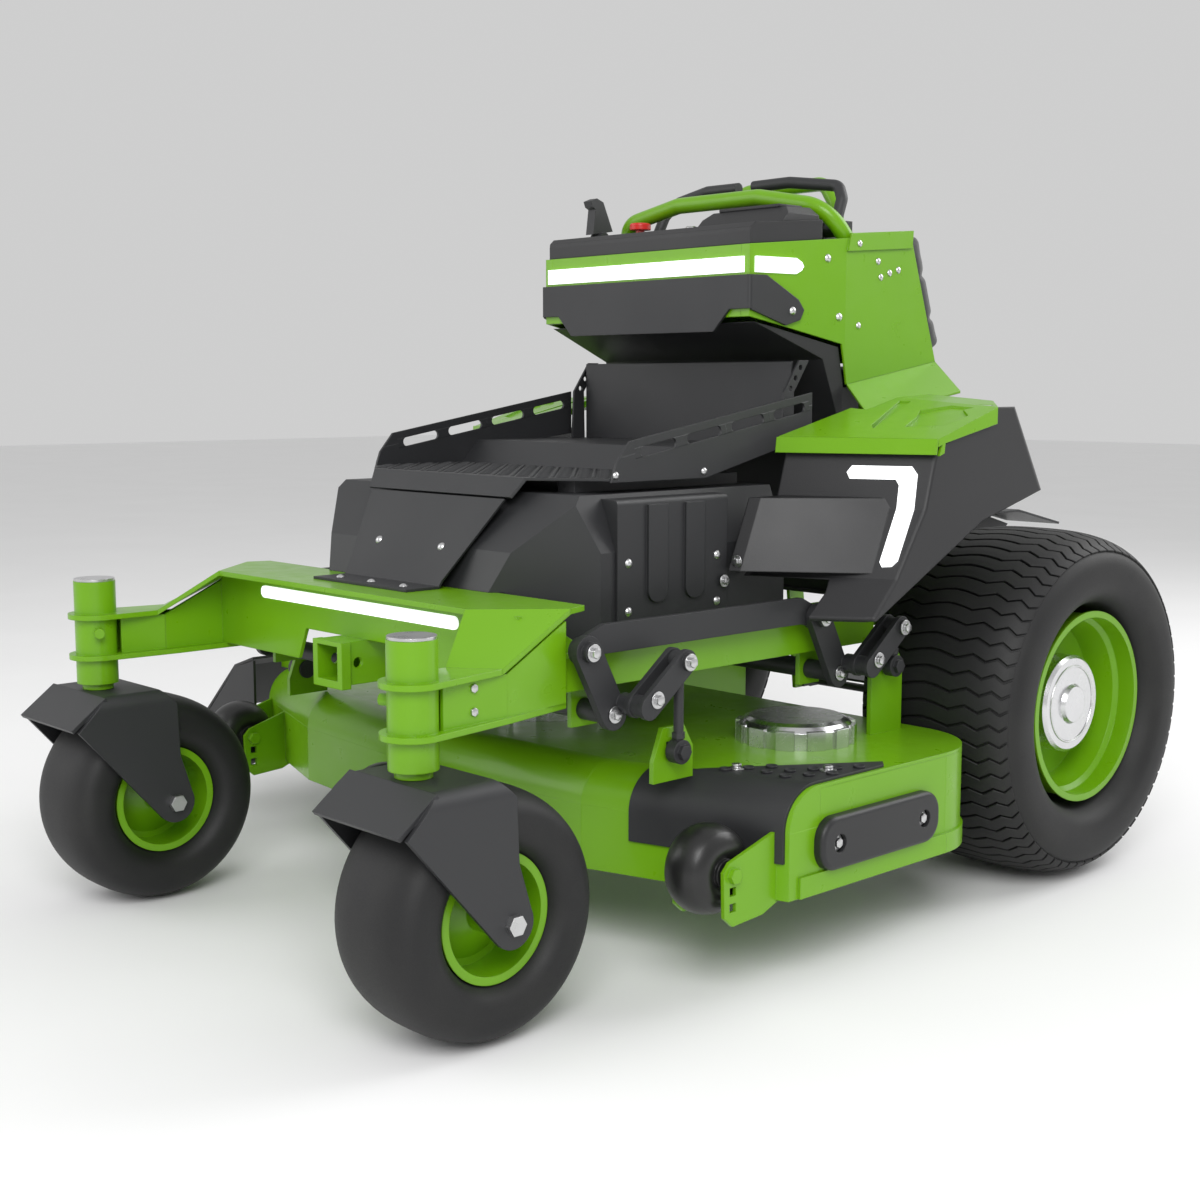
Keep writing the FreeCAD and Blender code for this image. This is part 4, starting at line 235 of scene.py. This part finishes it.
# %% [markdown]
# ## Bare metal, lamps and the pad cover
# Plated bolts, machined castings and blades differ in tone and roughness only, so one function makes them.
# A lamp lens glows through ribs moulded across it. The pad has a coated woven cover.


# %% Metal, lamp and cover finishes
def bare_metal(name, dark, light, roughness, depth):
    """Unpainted metal with a broad change of tone and a fine surface."""
    metal = Finish(name)
    broad = metal.noise(25.0, 4.0)
    fine = metal.noise(700.0, 3.0)
    metal.set(Base_Color=metal.blend(broad, dark, light), Metallic=1.0)
    metal.set(Roughness=metal.limits(fine * 0.5 + broad * 0.5, 0.3, 0.7, roughness - 0.06, roughness + 0.08))
    metal.relief(fine, depth, 0.4, 0.001)
    return metal.material


def lamp_lens():
    """Lit lens with fine slanting ribs."""
    lens = Finish("lamp_lens")
    ribs = lens.node("ShaderNodeTexWave", {"bands_direction": "DIAGONAL"},
                     {"Vector": lens.place, "Scale": 90.0}, 1)
    lens.set(Base_Color=lens.blend(ribs, (0.86, 0.88, 0.9), (0.95, 0.95, 0.95)), Roughness=0.25)
    lens.set(Emission_Color=lens.blend(ribs, (0.93, 0.95, 1.0), (1.0, 1.0, 1.0)), Emission_Strength=0.9)
    lens.relief(ribs, 0.0002, 0.3, 0.0)
    return lens.material


def woven_cover():
    """Black coated weave of two crossing threads."""
    cover = Finish("pad_cover")
    threads = []
    for direction in ("X", "Z"):
        settings = {"bands_direction": direction}
        threads.append(cover.node("ShaderNodeTexWave", settings, {"Vector": cover.place, "Scale": 160.0}, 1))
    weave = threads[0] * threads[1]
    soft = cover.noise(14.0, 3.0)
    tone = soft * 0.6 + weave * 0.4
    cover.set(Base_Color=cover.blend(tone, (0.011, 0.011, 0.012), (0.032, 0.032, 0.034)))
    cover.set(Roughness=cover.limits(weave, 0.0, 1.0, 0.62, 0.78), Sheen_Weight=0.25)
    cover.relief(weave, 0.0004, 0.6, 0.0)
    return cover.material


FINISHES["zinc_steel"] = bare_metal("zinc_steel", (0.5, 0.5, 0.5), (0.72, 0.72, 0.73), 0.3, 0.0001)
FINISHES["cast_aluminium"] = bare_metal("cast_aluminium", (0.6, 0.6, 0.61), (0.78, 0.78, 0.79), 0.24, 0.0001)
FINISHES["blade_steel"] = bare_metal("blade_steel", (0.22, 0.22, 0.23), (0.4, 0.4, 0.41), 0.38, 0.0002)
FINISHES["lamp_lens"] = lamp_lens()
FINISHES["pad_cover"] = woven_cover()

for row in frame["record"]["subparts"]:
    mesh = frame["nodes"][row["node"]].data
    mesh.materials.clear()
    mesh.materials.append(FINISHES[row["material_slot"]])

# %% [markdown]
# ## Workshop helpers
# Every new piece starts as a primitive, is shaped in edit mode and ends with its place in its own mesh.


# %% Helpers for pieces
def only(piece):
    """Makes a piece the only thing selected."""
    bpy.ops.object.select_all(action="DESELECT")
    piece.select_set(True)
    bpy.context.view_layer.objects.active = piece


def finished(piece, name, slot, body, nodes=()):
    """Names a piece, gives it its finish, and lets it ride on its body."""
    only(piece)
    bpy.ops.object.transform_apply(location=True, rotation=True, scale=True)
    piece.name = name
    piece.data.materials.clear()
    piece.data.materials.append(FINISHES[slot])
    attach(piece, body)
    if nodes:
        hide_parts(*nodes)
    return piece


def modifier(piece, kind, **settings):
    """Adds a modifier with its settings and applies it."""
    only(piece)
    made = piece.modifiers.new(kind.title(), kind)
    for key, value in settings.items():
        setattr(made, key, value)
    bpy.ops.object.modifier_apply(modifier=made.name)


def copies(piece, moves):
    """One piece made of copies of a shape, one for each matrix."""
    made = []
    for move in moves:
        copy = piece.copy()
        copy.data = piece.data.copy()
        copy.data.transform(move)
        bpy.context.collection.objects.link(copy)
        made.append(copy)
    bpy.data.objects.remove(piece)
    bpy.ops.object.select_all(action="DESELECT")
    for copy in made:
        copy.select_set(True)
    bpy.context.view_layer.objects.active = made[0]
    bpy.ops.object.join()
    return bpy.context.active_object


def spun(profile, centre, steps):
    """Ring about the x axis through centre from a closed profile of (along the axis, radius) points."""
    bpy.ops.object.select_all(action="DESELECT")
    bpy.ops.mesh.primitive_circle_add(vertices=len(profile), radius=1)
    ring = bpy.context.active_object
    for vertex, (along, radius) in zip(ring.data.vertices, profile):
        vertex.co = centre + Vector((along, 0, radius))
    bpy.ops.object.mode_set(mode="EDIT")
    bpy.ops.mesh.select_all(action="SELECT")
    bpy.ops.mesh.spin(steps=steps, angle=2 * math.pi, center=centre, axis=(1, 0, 0))
    bpy.ops.mesh.select_all(action="SELECT")
    bpy.ops.mesh.remove_doubles(threshold=1e-5)
    bpy.ops.mesh.normals_make_consistent(inside=False)
    bpy.ops.object.mode_set(mode="OBJECT")
    bpy.ops.object.shade_smooth_by_angle(angle=math.radians(40))
    return ring


print("helpers ready")

# %% [markdown]
# ## Tyres
# A tyre's section is nearly a rounded rectangle that bulges at the sides. A superellipse gives that shape
# from one exponent. The section is closed along the rim and spun round the axle.

# %% Tyre sections
DRIVE = {"centre_x": 465.0, "y": 1265.0, "z": 292.0, "half": 152.6, "rim": 154.0, "radius": 291.6}
DRIVE_SQUARENESS = 2.9
CASTER = {"centre_x": 415.0, "y": 78.0, "z": 165.0, "half": 82.2, "rim": 79.0, "radius": 164.6}
CASTER_SQUARENESS = 2.7
BEAD_TURN = -58          # where the section starts, in degrees below the middle of the right side
SECTION_SWEEP = 296
SECTION_STEPS = 40
BEAD_GAP = 0.3


def section_point(size, turn, squareness, sink):
    """Point of a tyre's section at an angle; sink lowers the crown evenly."""
    middle = (size["rim"] + size["radius"]) / 2
    height = size["radius"] - middle - sink
    cosine, sine = math.cos(turn), math.sin(turn)
    along = math.copysign(abs(cosine) ** (2 / squareness), cosine) * (size["half"] - sink / 4)
    return along, middle + math.copysign(abs(sine) ** (2 / squareness), sine) * height


def tyre_section(size, squareness, sink):
    """Closed profile in metres, from one bead over the crown to the other."""
    points = []
    for step in range(SECTION_STEPS + 1):
        turn = math.radians(BEAD_TURN + step * (SECTION_SWEEP / SECTION_STEPS))
        along, radius = section_point(size, turn, squareness, sink)
        points.append((along * MM, max(radius, size["rim"] + BEAD_GAP) * MM))
    return points


def wheel_centre(size, sign):
    """Middle of a wheel; sign is 1 on the left and -1 on the right."""
    return at(sign * size["centre_x"], size["y"], size["z"])


for side, sign in SIDES.items():
    smooth = spun(tyre_section(CASTER, CASTER_SQUARENESS, 0.0), wheel_centre(CASTER, sign), 96)
    wheel = side + "_caster_wheel"
    finished(smooth, "caster_tyre_shape_" + side, "tyre_rubber", wheel, ["caster_tyre_" + side])
print("caster tyres spun")

# %% [markdown]
# ## Turf tread
# The drive tyres carry wavy bars right across the crown, parted by narrow grooves. One bar is a grid laid
# on the crown, bent to a zigzag and thickened inwards. Copies of it go round the wheel.

# %% Drive tyres and tread
BARS = 66
BAR_DEPTH = 6.0
GROOVE = 4.2
WAVES = 6
WAVE_HEIGHT = 4.6
TREAD_TURN = 26          # where a bar starts on the tyre's section, in degrees
TREAD_SWEEP = 128


def zigzag(across):
    """Triangle wave from -1 to 1 over the width."""
    phase = (across * WAVES) % 1.0
    return 4 * abs(phase - 0.5) - 1


def tread_bar(size):
    """One bar of the tread on top of the tyre."""
    bpy.ops.object.select_all(action="DESELECT")
    bpy.ops.mesh.primitive_grid_add(x_subdivisions=60, y_subdivisions=2, size=2)
    bar = bpy.context.active_object
    pitch = 2 * math.pi * size["radius"] / BARS
    for vertex in bar.data.vertices:
        across = (vertex.co.x + 1) / 2
        turn = math.radians(TREAD_TURN + across * TREAD_SWEEP)
        along, radius = section_point(size, turn, DRIVE_SQUARENESS, 0.0)
        around = vertex.co.y * (pitch - GROOVE) / 2 + zigzag(across) * WAVE_HEIGHT
        angle = around / size["radius"]
        vertex.co = Vector((along * MM, radius * MM * math.sin(angle), radius * MM * math.cos(angle)))
    inwards = -1 if bar.data.polygons[0].normal.z > 0 else 1
    modifier(bar, "SOLIDIFY", thickness=BAR_DEPTH * MM * 1.15, offset=inwards)
    modifier(bar, "BEVEL", width=0.0009, segments=1, angle_limit=math.radians(50))
    return bar


for side, sign in SIDES.items():
    centre = wheel_centre(DRIVE, sign)
    wheel = side + "_drive_wheel"
    carcass = spun(tyre_section(DRIVE, DRIVE_SQUARENESS, BAR_DEPTH), centre, 128)
    finished(carcass, "drive_tyre_carcass_" + side, "tyre_rubber", wheel, ["drive_tyre_" + side])
    moves = []
    for step in range(BARS):
        moves.append(Matrix.Translation(centre) @ Matrix.Rotation(2 * math.pi * step / BARS, 4, "X"))
    finished(copies(tread_bar(DRIVE), moves), "drive_tyre_tread_" + side, "tyre_rubber", wheel)
print("tread bars on each wheel:", BARS)

# %% [markdown]
# ## Grip surfaces
# The deck's step plate has raised cups and the tray floor has raised lozenges, both for grip. One cup is a
# cylinder with its top face inset and pushed down. One lozenge is a squashed low cone. Each is copied to
# points of a grid, and a ray cast down keeps only the points that lie well inside a level face.


# %% Grip cups and lozenges
CUP_RADIUS = 0.0085
CUP_HEIGHT = 0.004
CUP_SEAT = 0.0002        # how far a cup stands in the plate
CUP_RIM = 0.003
CUP_WELL = 0.0022
CUP_PITCH = (34.0, 30.0)
LOZENGE_PITCH = (22.0, 21.0)
GRIP_REACH = 11.0        # level face needed round the middle of a cup or a lozenge
RAY_TOP = 760.0          # rays start here, above the tray
TRAY_LEVEL = 0.7         # the tray floor is below this height and its raised rear above it
LEVEL = 0.98             # least upward part of the normal of a level face
STEP_ALLOWED = 0.0005


def cup():
    """Raised ring with a sunken middle, standing on the plate."""
    bpy.ops.object.select_all(action="DESELECT")
    bpy.ops.mesh.primitive_cylinder_add(vertices=20, radius=CUP_RADIUS, depth=CUP_HEIGHT,
                                        location=(0, 0, CUP_HEIGHT / 2 - CUP_SEAT))
    ring = bpy.context.active_object
    bpy.ops.object.transform_apply(location=True, rotation=False, scale=False)
    bpy.ops.object.mode_set(mode="EDIT")
    bpy.ops.mesh.select_all(action="DESELECT")
    bpy.ops.object.mode_set(mode="OBJECT")
    for face in ring.data.polygons:
        face.select = face.normal.z > 0.9
    bpy.ops.object.mode_set(mode="EDIT")
    bpy.ops.mesh.select_mode(type="FACE")
    bpy.ops.mesh.inset(thickness=CUP_RIM, depth=0.0)
    bpy.ops.transform.translate(value=(0, 0, -CUP_WELL))
    bpy.ops.object.mode_set(mode="OBJECT")
    modifier(ring, "BEVEL", width=0.0008, segments=2, angle_limit=math.radians(40))
    bpy.ops.object.shade_smooth_by_angle(angle=math.radians(45))
    return ring


def resting_place(node, x, y, reach):
    """Point straight down on a level face of a node, if the face carries on for reach all round."""
    piece = frame["nodes"][node]
    heights = []
    for side_x, side_y in ((0, 0), (reach, 0), (-reach, 0), (0, reach), (0, -reach)):
        start = at(x + side_x, y + side_y, RAY_TOP)
        hit, place, normal, _ = piece.ray_cast(start, Vector((0, 0, -1)))
        if not hit or normal.z < LEVEL:
            return None
        heights.append(place.z)
    if max(heights) - min(heights) > STEP_ALLOWED:
        return None
    return Vector((at(x, y, 0).x, at(x, y, 0).y, heights[0]))


cup_moves = []
for row in range(9):
    for column in range(8):
        x = 372 + column * CUP_PITCH[0] + (row % 2) * CUP_PITCH[0] / 2
        spot = resting_place("deck_step_plate", x, 440 + row * CUP_PITCH[1], GRIP_REACH)
        if spot:
            cup_moves.append(Matrix.Translation(spot))
finished(copies(cup(), cup_moves), "step_plate_cups", "charcoal_paint", "deck")


def lozenge():
    """Low boss with sloping sides, longer than wide."""
    bpy.ops.object.select_all(action="DESELECT")
    height = 0.0022
    bpy.ops.mesh.primitive_cone_add(vertices=8, radius1=0.011, radius2=0.006, depth=height,
                                    location=(0, 0, height / 2))
    boss = bpy.context.active_object
    boss.scale = (1.0, 0.32, 1.0)
    bpy.ops.object.transform_apply(location=True, rotation=False, scale=True)
    bpy.ops.object.shade_smooth_by_angle(angle=math.radians(40))
    return boss


lozenge_moves = []
for row in range(11):
    for column in range(25):
        turn = math.radians(45 if (row + column) % 2 else -45)
        x = (column - 12) * LOZENGE_PITCH[0]
        spot = resting_place("cargo_tray", x, 400 + row * LOZENGE_PITCH[1], GRIP_REACH)
        if spot and spot.z < TRAY_LEVEL:
            lozenge_moves.append(Matrix.Translation(spot) @ Matrix.Rotation(turn, 4, "Z"))
finished(copies(lozenge(), lozenge_moves), "tray_tread", "charcoal_paint", "chassis")
print("cups:", len(cup_moves), "lozenges:", len(lozenge_moves))

# %% [markdown]
# ## Fasteners
# A bolt is a hexagonal head with a chamfered rim on a flat washer. It is modelled pointing up, then copied
# to each place and turned to face out of its surface.


# %% Bolts
WASHER = 0.0018
LARGE_BOLT = 0.0075
SMALL_BOLT = 0.006


def bolt(radius):
    """Hexagonal head on a washer, standing on z = 0."""
    bpy.ops.object.select_all(action="DESELECT")
    bpy.ops.mesh.primitive_cylinder_add(vertices=24, radius=radius * 1.6, depth=WASHER,
                                        location=(0, 0, WASHER / 2))
    washer = bpy.context.active_object
    bpy.ops.object.transform_apply(location=True)
    modifier(washer, "BEVEL", width=0.0004, segments=1)
    bpy.ops.object.select_all(action="DESELECT")
    height = radius * 0.8
    bpy.ops.mesh.primitive_cylinder_add(vertices=6, radius=radius, depth=height,
                                        location=(0, 0, WASHER + height / 2))
    head = bpy.context.active_object
    bpy.ops.object.transform_apply(location=True)
    modifier(head, "BEVEL", width=radius * 0.13, segments=2)
    washer.select_set(True)
    bpy.ops.object.join()
    bpy.ops.object.shade_smooth_by_angle(angle=math.radians(35))
    return head


def facing(place, outward):
    """Move that takes an upward shape to a place and turns it outward."""
    return Matrix.Translation(place) @ Vector(outward).to_track_quat("Z", "Y").to_matrix().to_4x4()


def bolts(name, radius, body, slot, places):
    """One piece made of bolts; each place is (x, y, z, outward) in drawing millimetres."""
    moves = [facing(at(x, y, z), outward) for x, y, z, outward in places]
    finished(copies(bolt(radius), moves), name, slot, body)
    print(name, len(moves))


def both_sides(places):
    """The places and their mirror images."""
    return places + [(-x, y, z, (-out[0], out[1], out[2])) for x, y, z, out in places]


LEFTWARD = (1, 0, 0)
FORWARD = (0, -1, 0)
UPWARD = (0, 0, 1)
CRANK_PIVOTS = {"front": 321.0, "rear": 800.0}
STEP_TOP_Z = 286.0
for name, pivot_y in CRANK_PIVOTS.items():
    crank_bolts = both_sides([(436.5, pivot_y, 384.0, LEFTWARD), (492.2, pivot_y + 88, 452.0, LEFTWARD),
                              (445.2, pivot_y - 47, 474.0, LEFTWARD), (487.2, pivot_y + 30, 407.0, LEFTWARD)])
    bolts(name + "_crank_bolts", LARGE_BOLT, name + "_crank", "zinc_steel", crank_bolts)
step_bolts = [(480.0, 517.0, STEP_TOP_Z, UPWARD), (576.0, 602.0, STEP_TOP_Z, UPWARD)]
bumper_bolts = [(619.2, 568.0, 198.0, LEFTWARD), (619.2, 762.0, 198.0, LEFTWARD)]
bolts("deck_bolts", LARGE_BOLT, "deck", "zinc_steel", step_bolts + bumper_bolts)
beam_bolts = both_sides([(430.5, 80.0, 450.0, LEFTWARD), (430.5, 80.0, 420.0, LEFTWARD)])
housing_bolts = both_sides([(330.2, 650.0, 530.0, LEFTWARD), (345.0, 663.0, 560.0, FORWARD)])
bolts("frame_bolts", SMALL_BOLT, "chassis", "zinc_steel", beam_bolts + housing_bolts)

# %% [markdown]
# ## Drive hubs
# A low machined ring runs round the face of each drive hub. Its section is spun about the axle.

# %% Hub faces
HUB_FACE = 560.0
RING_HEIGHT = 0.0016
for side, sign in SIDES.items():
    centre = wheel_centre(DRIVE, sign) + Vector((sign * (HUB_FACE - DRIVE["centre_x"]) * MM, 0, 0))
    proud = sign * RING_HEIGHT
    ring = spun([(0.0, 0.062), (0.0, 0.066), (proud, 0.0652), (proud, 0.0628)], centre, 72)
    finished(ring, "hub_ring_" + side, "cast_aluminium", side + "_drive_wheel")
print("hub rings done")

# %% [markdown]
# ## Hip pad
# The operator leans on a cushion behind the tower. It starts as a slightly small box, is remeshed finely,
# and is blown up a little by cloth simulation. Then two sewn channels are pressed in and its back is kept
# clear of the tower.

# %% Hip pad
PAD_LOW = at(0, 1258.0, 865.0)
PAD_HIGH = at(0, 1180.0, 1079.0)
PAD_THICK = 0.052
PAD_HALF_WIDTH = 0.264
PAD_EDGE = 0.012
PAD_VOXEL = 0.006
PAD_PRESSURE = 4.0
PAD_CAP = 0.009          # the cover moves no further than this
CHANNELS = (0.3, 0.64)   # heights of the sewn channels, as shares of the pad's height
CHANNEL_WIDTH = 0.006
CHANNEL_DEPTH = 0.009
BACK_GAP = 0.0015
CLOTH_FRAMES = 20
up = (PAD_HIGH - PAD_LOW).normalized()
outward = Vector((0, up.z, -up.y))
pad_length = (PAD_HIGH - PAD_LOW).length


def hip_pad():
    """Swollen cushion with sewn channels, in the pad's place."""
    middle = (PAD_LOW + PAD_HIGH) / 2 + outward * (PAD_THICK / 2 + 0.002)
    bpy.ops.object.select_all(action="DESELECT")
    bpy.ops.mesh.primitive_cube_add(size=1)
    pad = bpy.context.active_object
    tilt = Matrix((Vector((1, 0, 0)), -outward, up)).transposed().to_4x4()
    size = Matrix.Diagonal((2 * PAD_HALF_WIDTH - 0.008, PAD_THICK - 0.006, pad_length - 0.022, 1))
    pad.data.transform(Matrix.Translation(middle) @ tilt @ size)
    modifier(pad, "BEVEL", width=PAD_EDGE, segments=3)
    modifier(pad, "REMESH", mode="VOXEL", voxel_size=PAD_VOXEL)
    rest = [vertex.co.copy() for vertex in pad.data.vertices]
    cloth = pad.modifiers.new("Cloth", "CLOTH")
    cloth.settings.use_pressure = True
    cloth.settings.uniform_pressure_force = PAD_PRESSURE
    cloth.settings.effector_weights.gravity = 0.0
    for step in range(1, CLOTH_FRAMES + 1):
        bpy.context.scene.frame_set(step)
    only(pad)
    bpy.ops.object.modifier_apply(modifier="Cloth")
    bpy.context.scene.frame_set(1)
    for vertex, start in zip(pad.data.vertices, rest):
        move = vertex.co - start
        if move.length > PAD_CAP:
            vertex.co = start + move.normalized() * PAD_CAP
        height = (vertex.co - PAD_LOW).dot(up) / pad_length
        front = (vertex.co - PAD_LOW).dot(outward)
        for channel in CHANNELS:
            press = math.exp(-(((height - channel) * pad_length / CHANNEL_WIDTH) ** 2))
            if front > PAD_THICK * 0.5:
                vertex.co -= outward * (CHANNEL_DEPTH * press)
        if front < BACK_GAP:
            vertex.co += outward * (BACK_GAP - front)
    modifier(pad, "SUBSURF", levels=1, render_levels=1)
    bpy.ops.object.shade_smooth()
    return pad


cushion = finished(hip_pad(), "hip_pad_cushion", "pad_cover", "chassis", ["hip_pad"])
print("hip pad faces:", len(cushion.data.polygons))

# %% [markdown]
# ## Console
# The display is dark glass in a raised bezel, and a key switch with a plated collar stands beside it. Bezel
# and glass are plates whose top face is inset and sunk. The collar is a section spun about an upright line.


# %% Display and key switch
SLAB_RIM = 0.008
SLAB_EDGE = 0.0012


def slab(name, middle, size, sunk):
    """Thin rounded plate whose top face is inset and sunk, in its place."""
    bpy.ops.object.select_all(action="DESELECT")
    bpy.ops.mesh.primitive_cube_add(size=1)
    plate = bpy.context.active_object
    plate.data.transform(Matrix.Diagonal((size[0] * MM, size[1] * MM, size[2] * MM, 1)))
    for face in plate.data.polygons:
        face.select = face.normal.z > 0.9
    bpy.ops.object.mode_set(mode="EDIT")
    bpy.ops.mesh.select_mode(type="FACE")
    bpy.ops.mesh.inset(thickness=SLAB_RIM, depth=0.0)
    bpy.ops.transform.translate(value=(0, 0, -sunk * MM))
    bpy.ops.object.mode_set(mode="OBJECT")
    modifier(plate, "BEVEL", width=SLAB_EDGE, segments=2, angle_limit=math.radians(30))
    plate.data.transform(Matrix.Translation(middle))
    bpy.ops.object.shade_smooth_by_angle(angle=math.radians(40))
    return finished(plate, name, "moulded_plastic", "chassis")


def screen_glass():
    """Dark polished glass."""
    glass = Finish("screen_glass")
    panel = glass.noise(3.0)
    glass.set(Base_Color=glass.blend(panel, (0.004, 0.006, 0.007), (0.008, 0.011, 0.012)), Roughness=0.08)
    return glass.material


FINISHES["screen_glass"] = screen_glass()
slab("display_bezel", at(150, 926, 1113), (132, 58, 6), 2.0)
glass = slab("display_glass", at(150, 926, 1113.2), (116, 44, 2.4), 0.3)
glass.data.materials[0] = FINISHES["screen_glass"]

KEY_PLACE = at(-40, 960, 1091)
collar_profile = [(0.0, 0.0105), (0.007, 0.0105), (0.009, 0.0085), (0.009, 0.0052), (0.004, 0.0048),
                  (0.0, 0.0048)]
collar = spun(collar_profile, Vector((0, 0, 0)), 32)
collar.data.transform(Matrix.Translation(KEY_PLACE) @ Matrix.Rotation(-math.pi / 2, 4, "Y"))
finished(collar, "key_switch", "zinc_steel", "chassis")
print("console dressed")

# %% [markdown]
# ## Camera, light and floor
# A long, soft key light from the front left, a weaker fill and a bright surround give even studio light.
# The camera stands off the machine's front left corner, at about the height of the tray.

# %% Stage
CAMERA_PLACE = at(2030.5, -1200.9, 824.1)
CAMERA_AIM = Vector((-0.7236, 0.6782, -0.128))


def soft_light(name, place, size, power):
    """Large area light that points at the middle of the machine."""
    target = at(0, 700, 500)
    bpy.ops.object.light_add(type="AREA", location=place)
    light = bpy.context.active_object
    light.name = name
    light.data.size = size
    light.data.energy = power
    light.rotation_euler = (target - place).to_track_quat("-Z", "Y").to_euler()


bpy.ops.object.select_all(action="DESELECT")
bpy.ops.mesh.primitive_plane_add(size=40, location=(0, 0, -0.0005))
floor = bpy.context.active_object
floor.name = "floor"
pale = Finish("pale_floor")
pale.set(Base_Color=pale.blend(pale.noise(2.0), (0.86, 0.86, 0.86), (0.9, 0.9, 0.9)), Roughness=0.85)
floor.data.materials.append(pale.material)

soft_light("key", at(3200, -2200, 3400), 2.6, 150)
soft_light("fill", at(-2600, -2600, 2200), 3.0, 45)
soft_light("back", at(1500, 4200, 3000), 3.0, 90)
world = bpy.data.worlds.new("studio")
bpy.context.scene.world = world
world.use_nodes = True
world.node_tree.nodes["Background"].inputs["Color"].default_value = (1, 1, 1, 1)
world.node_tree.nodes["Background"].inputs["Strength"].default_value = 0.62

bpy.ops.object.camera_add(location=CAMERA_PLACE)
camera = bpy.context.active_object
camera.data.lens = 50
camera.data.sensor_width = 36
camera.rotation_euler = CAMERA_AIM.to_track_quat("-Z", "Y").to_euler()
bpy.context.scene.camera = camera
bpy.context.scene.view_settings.view_transform = "Standard"
print("camera at", CAMERA_PLACE)
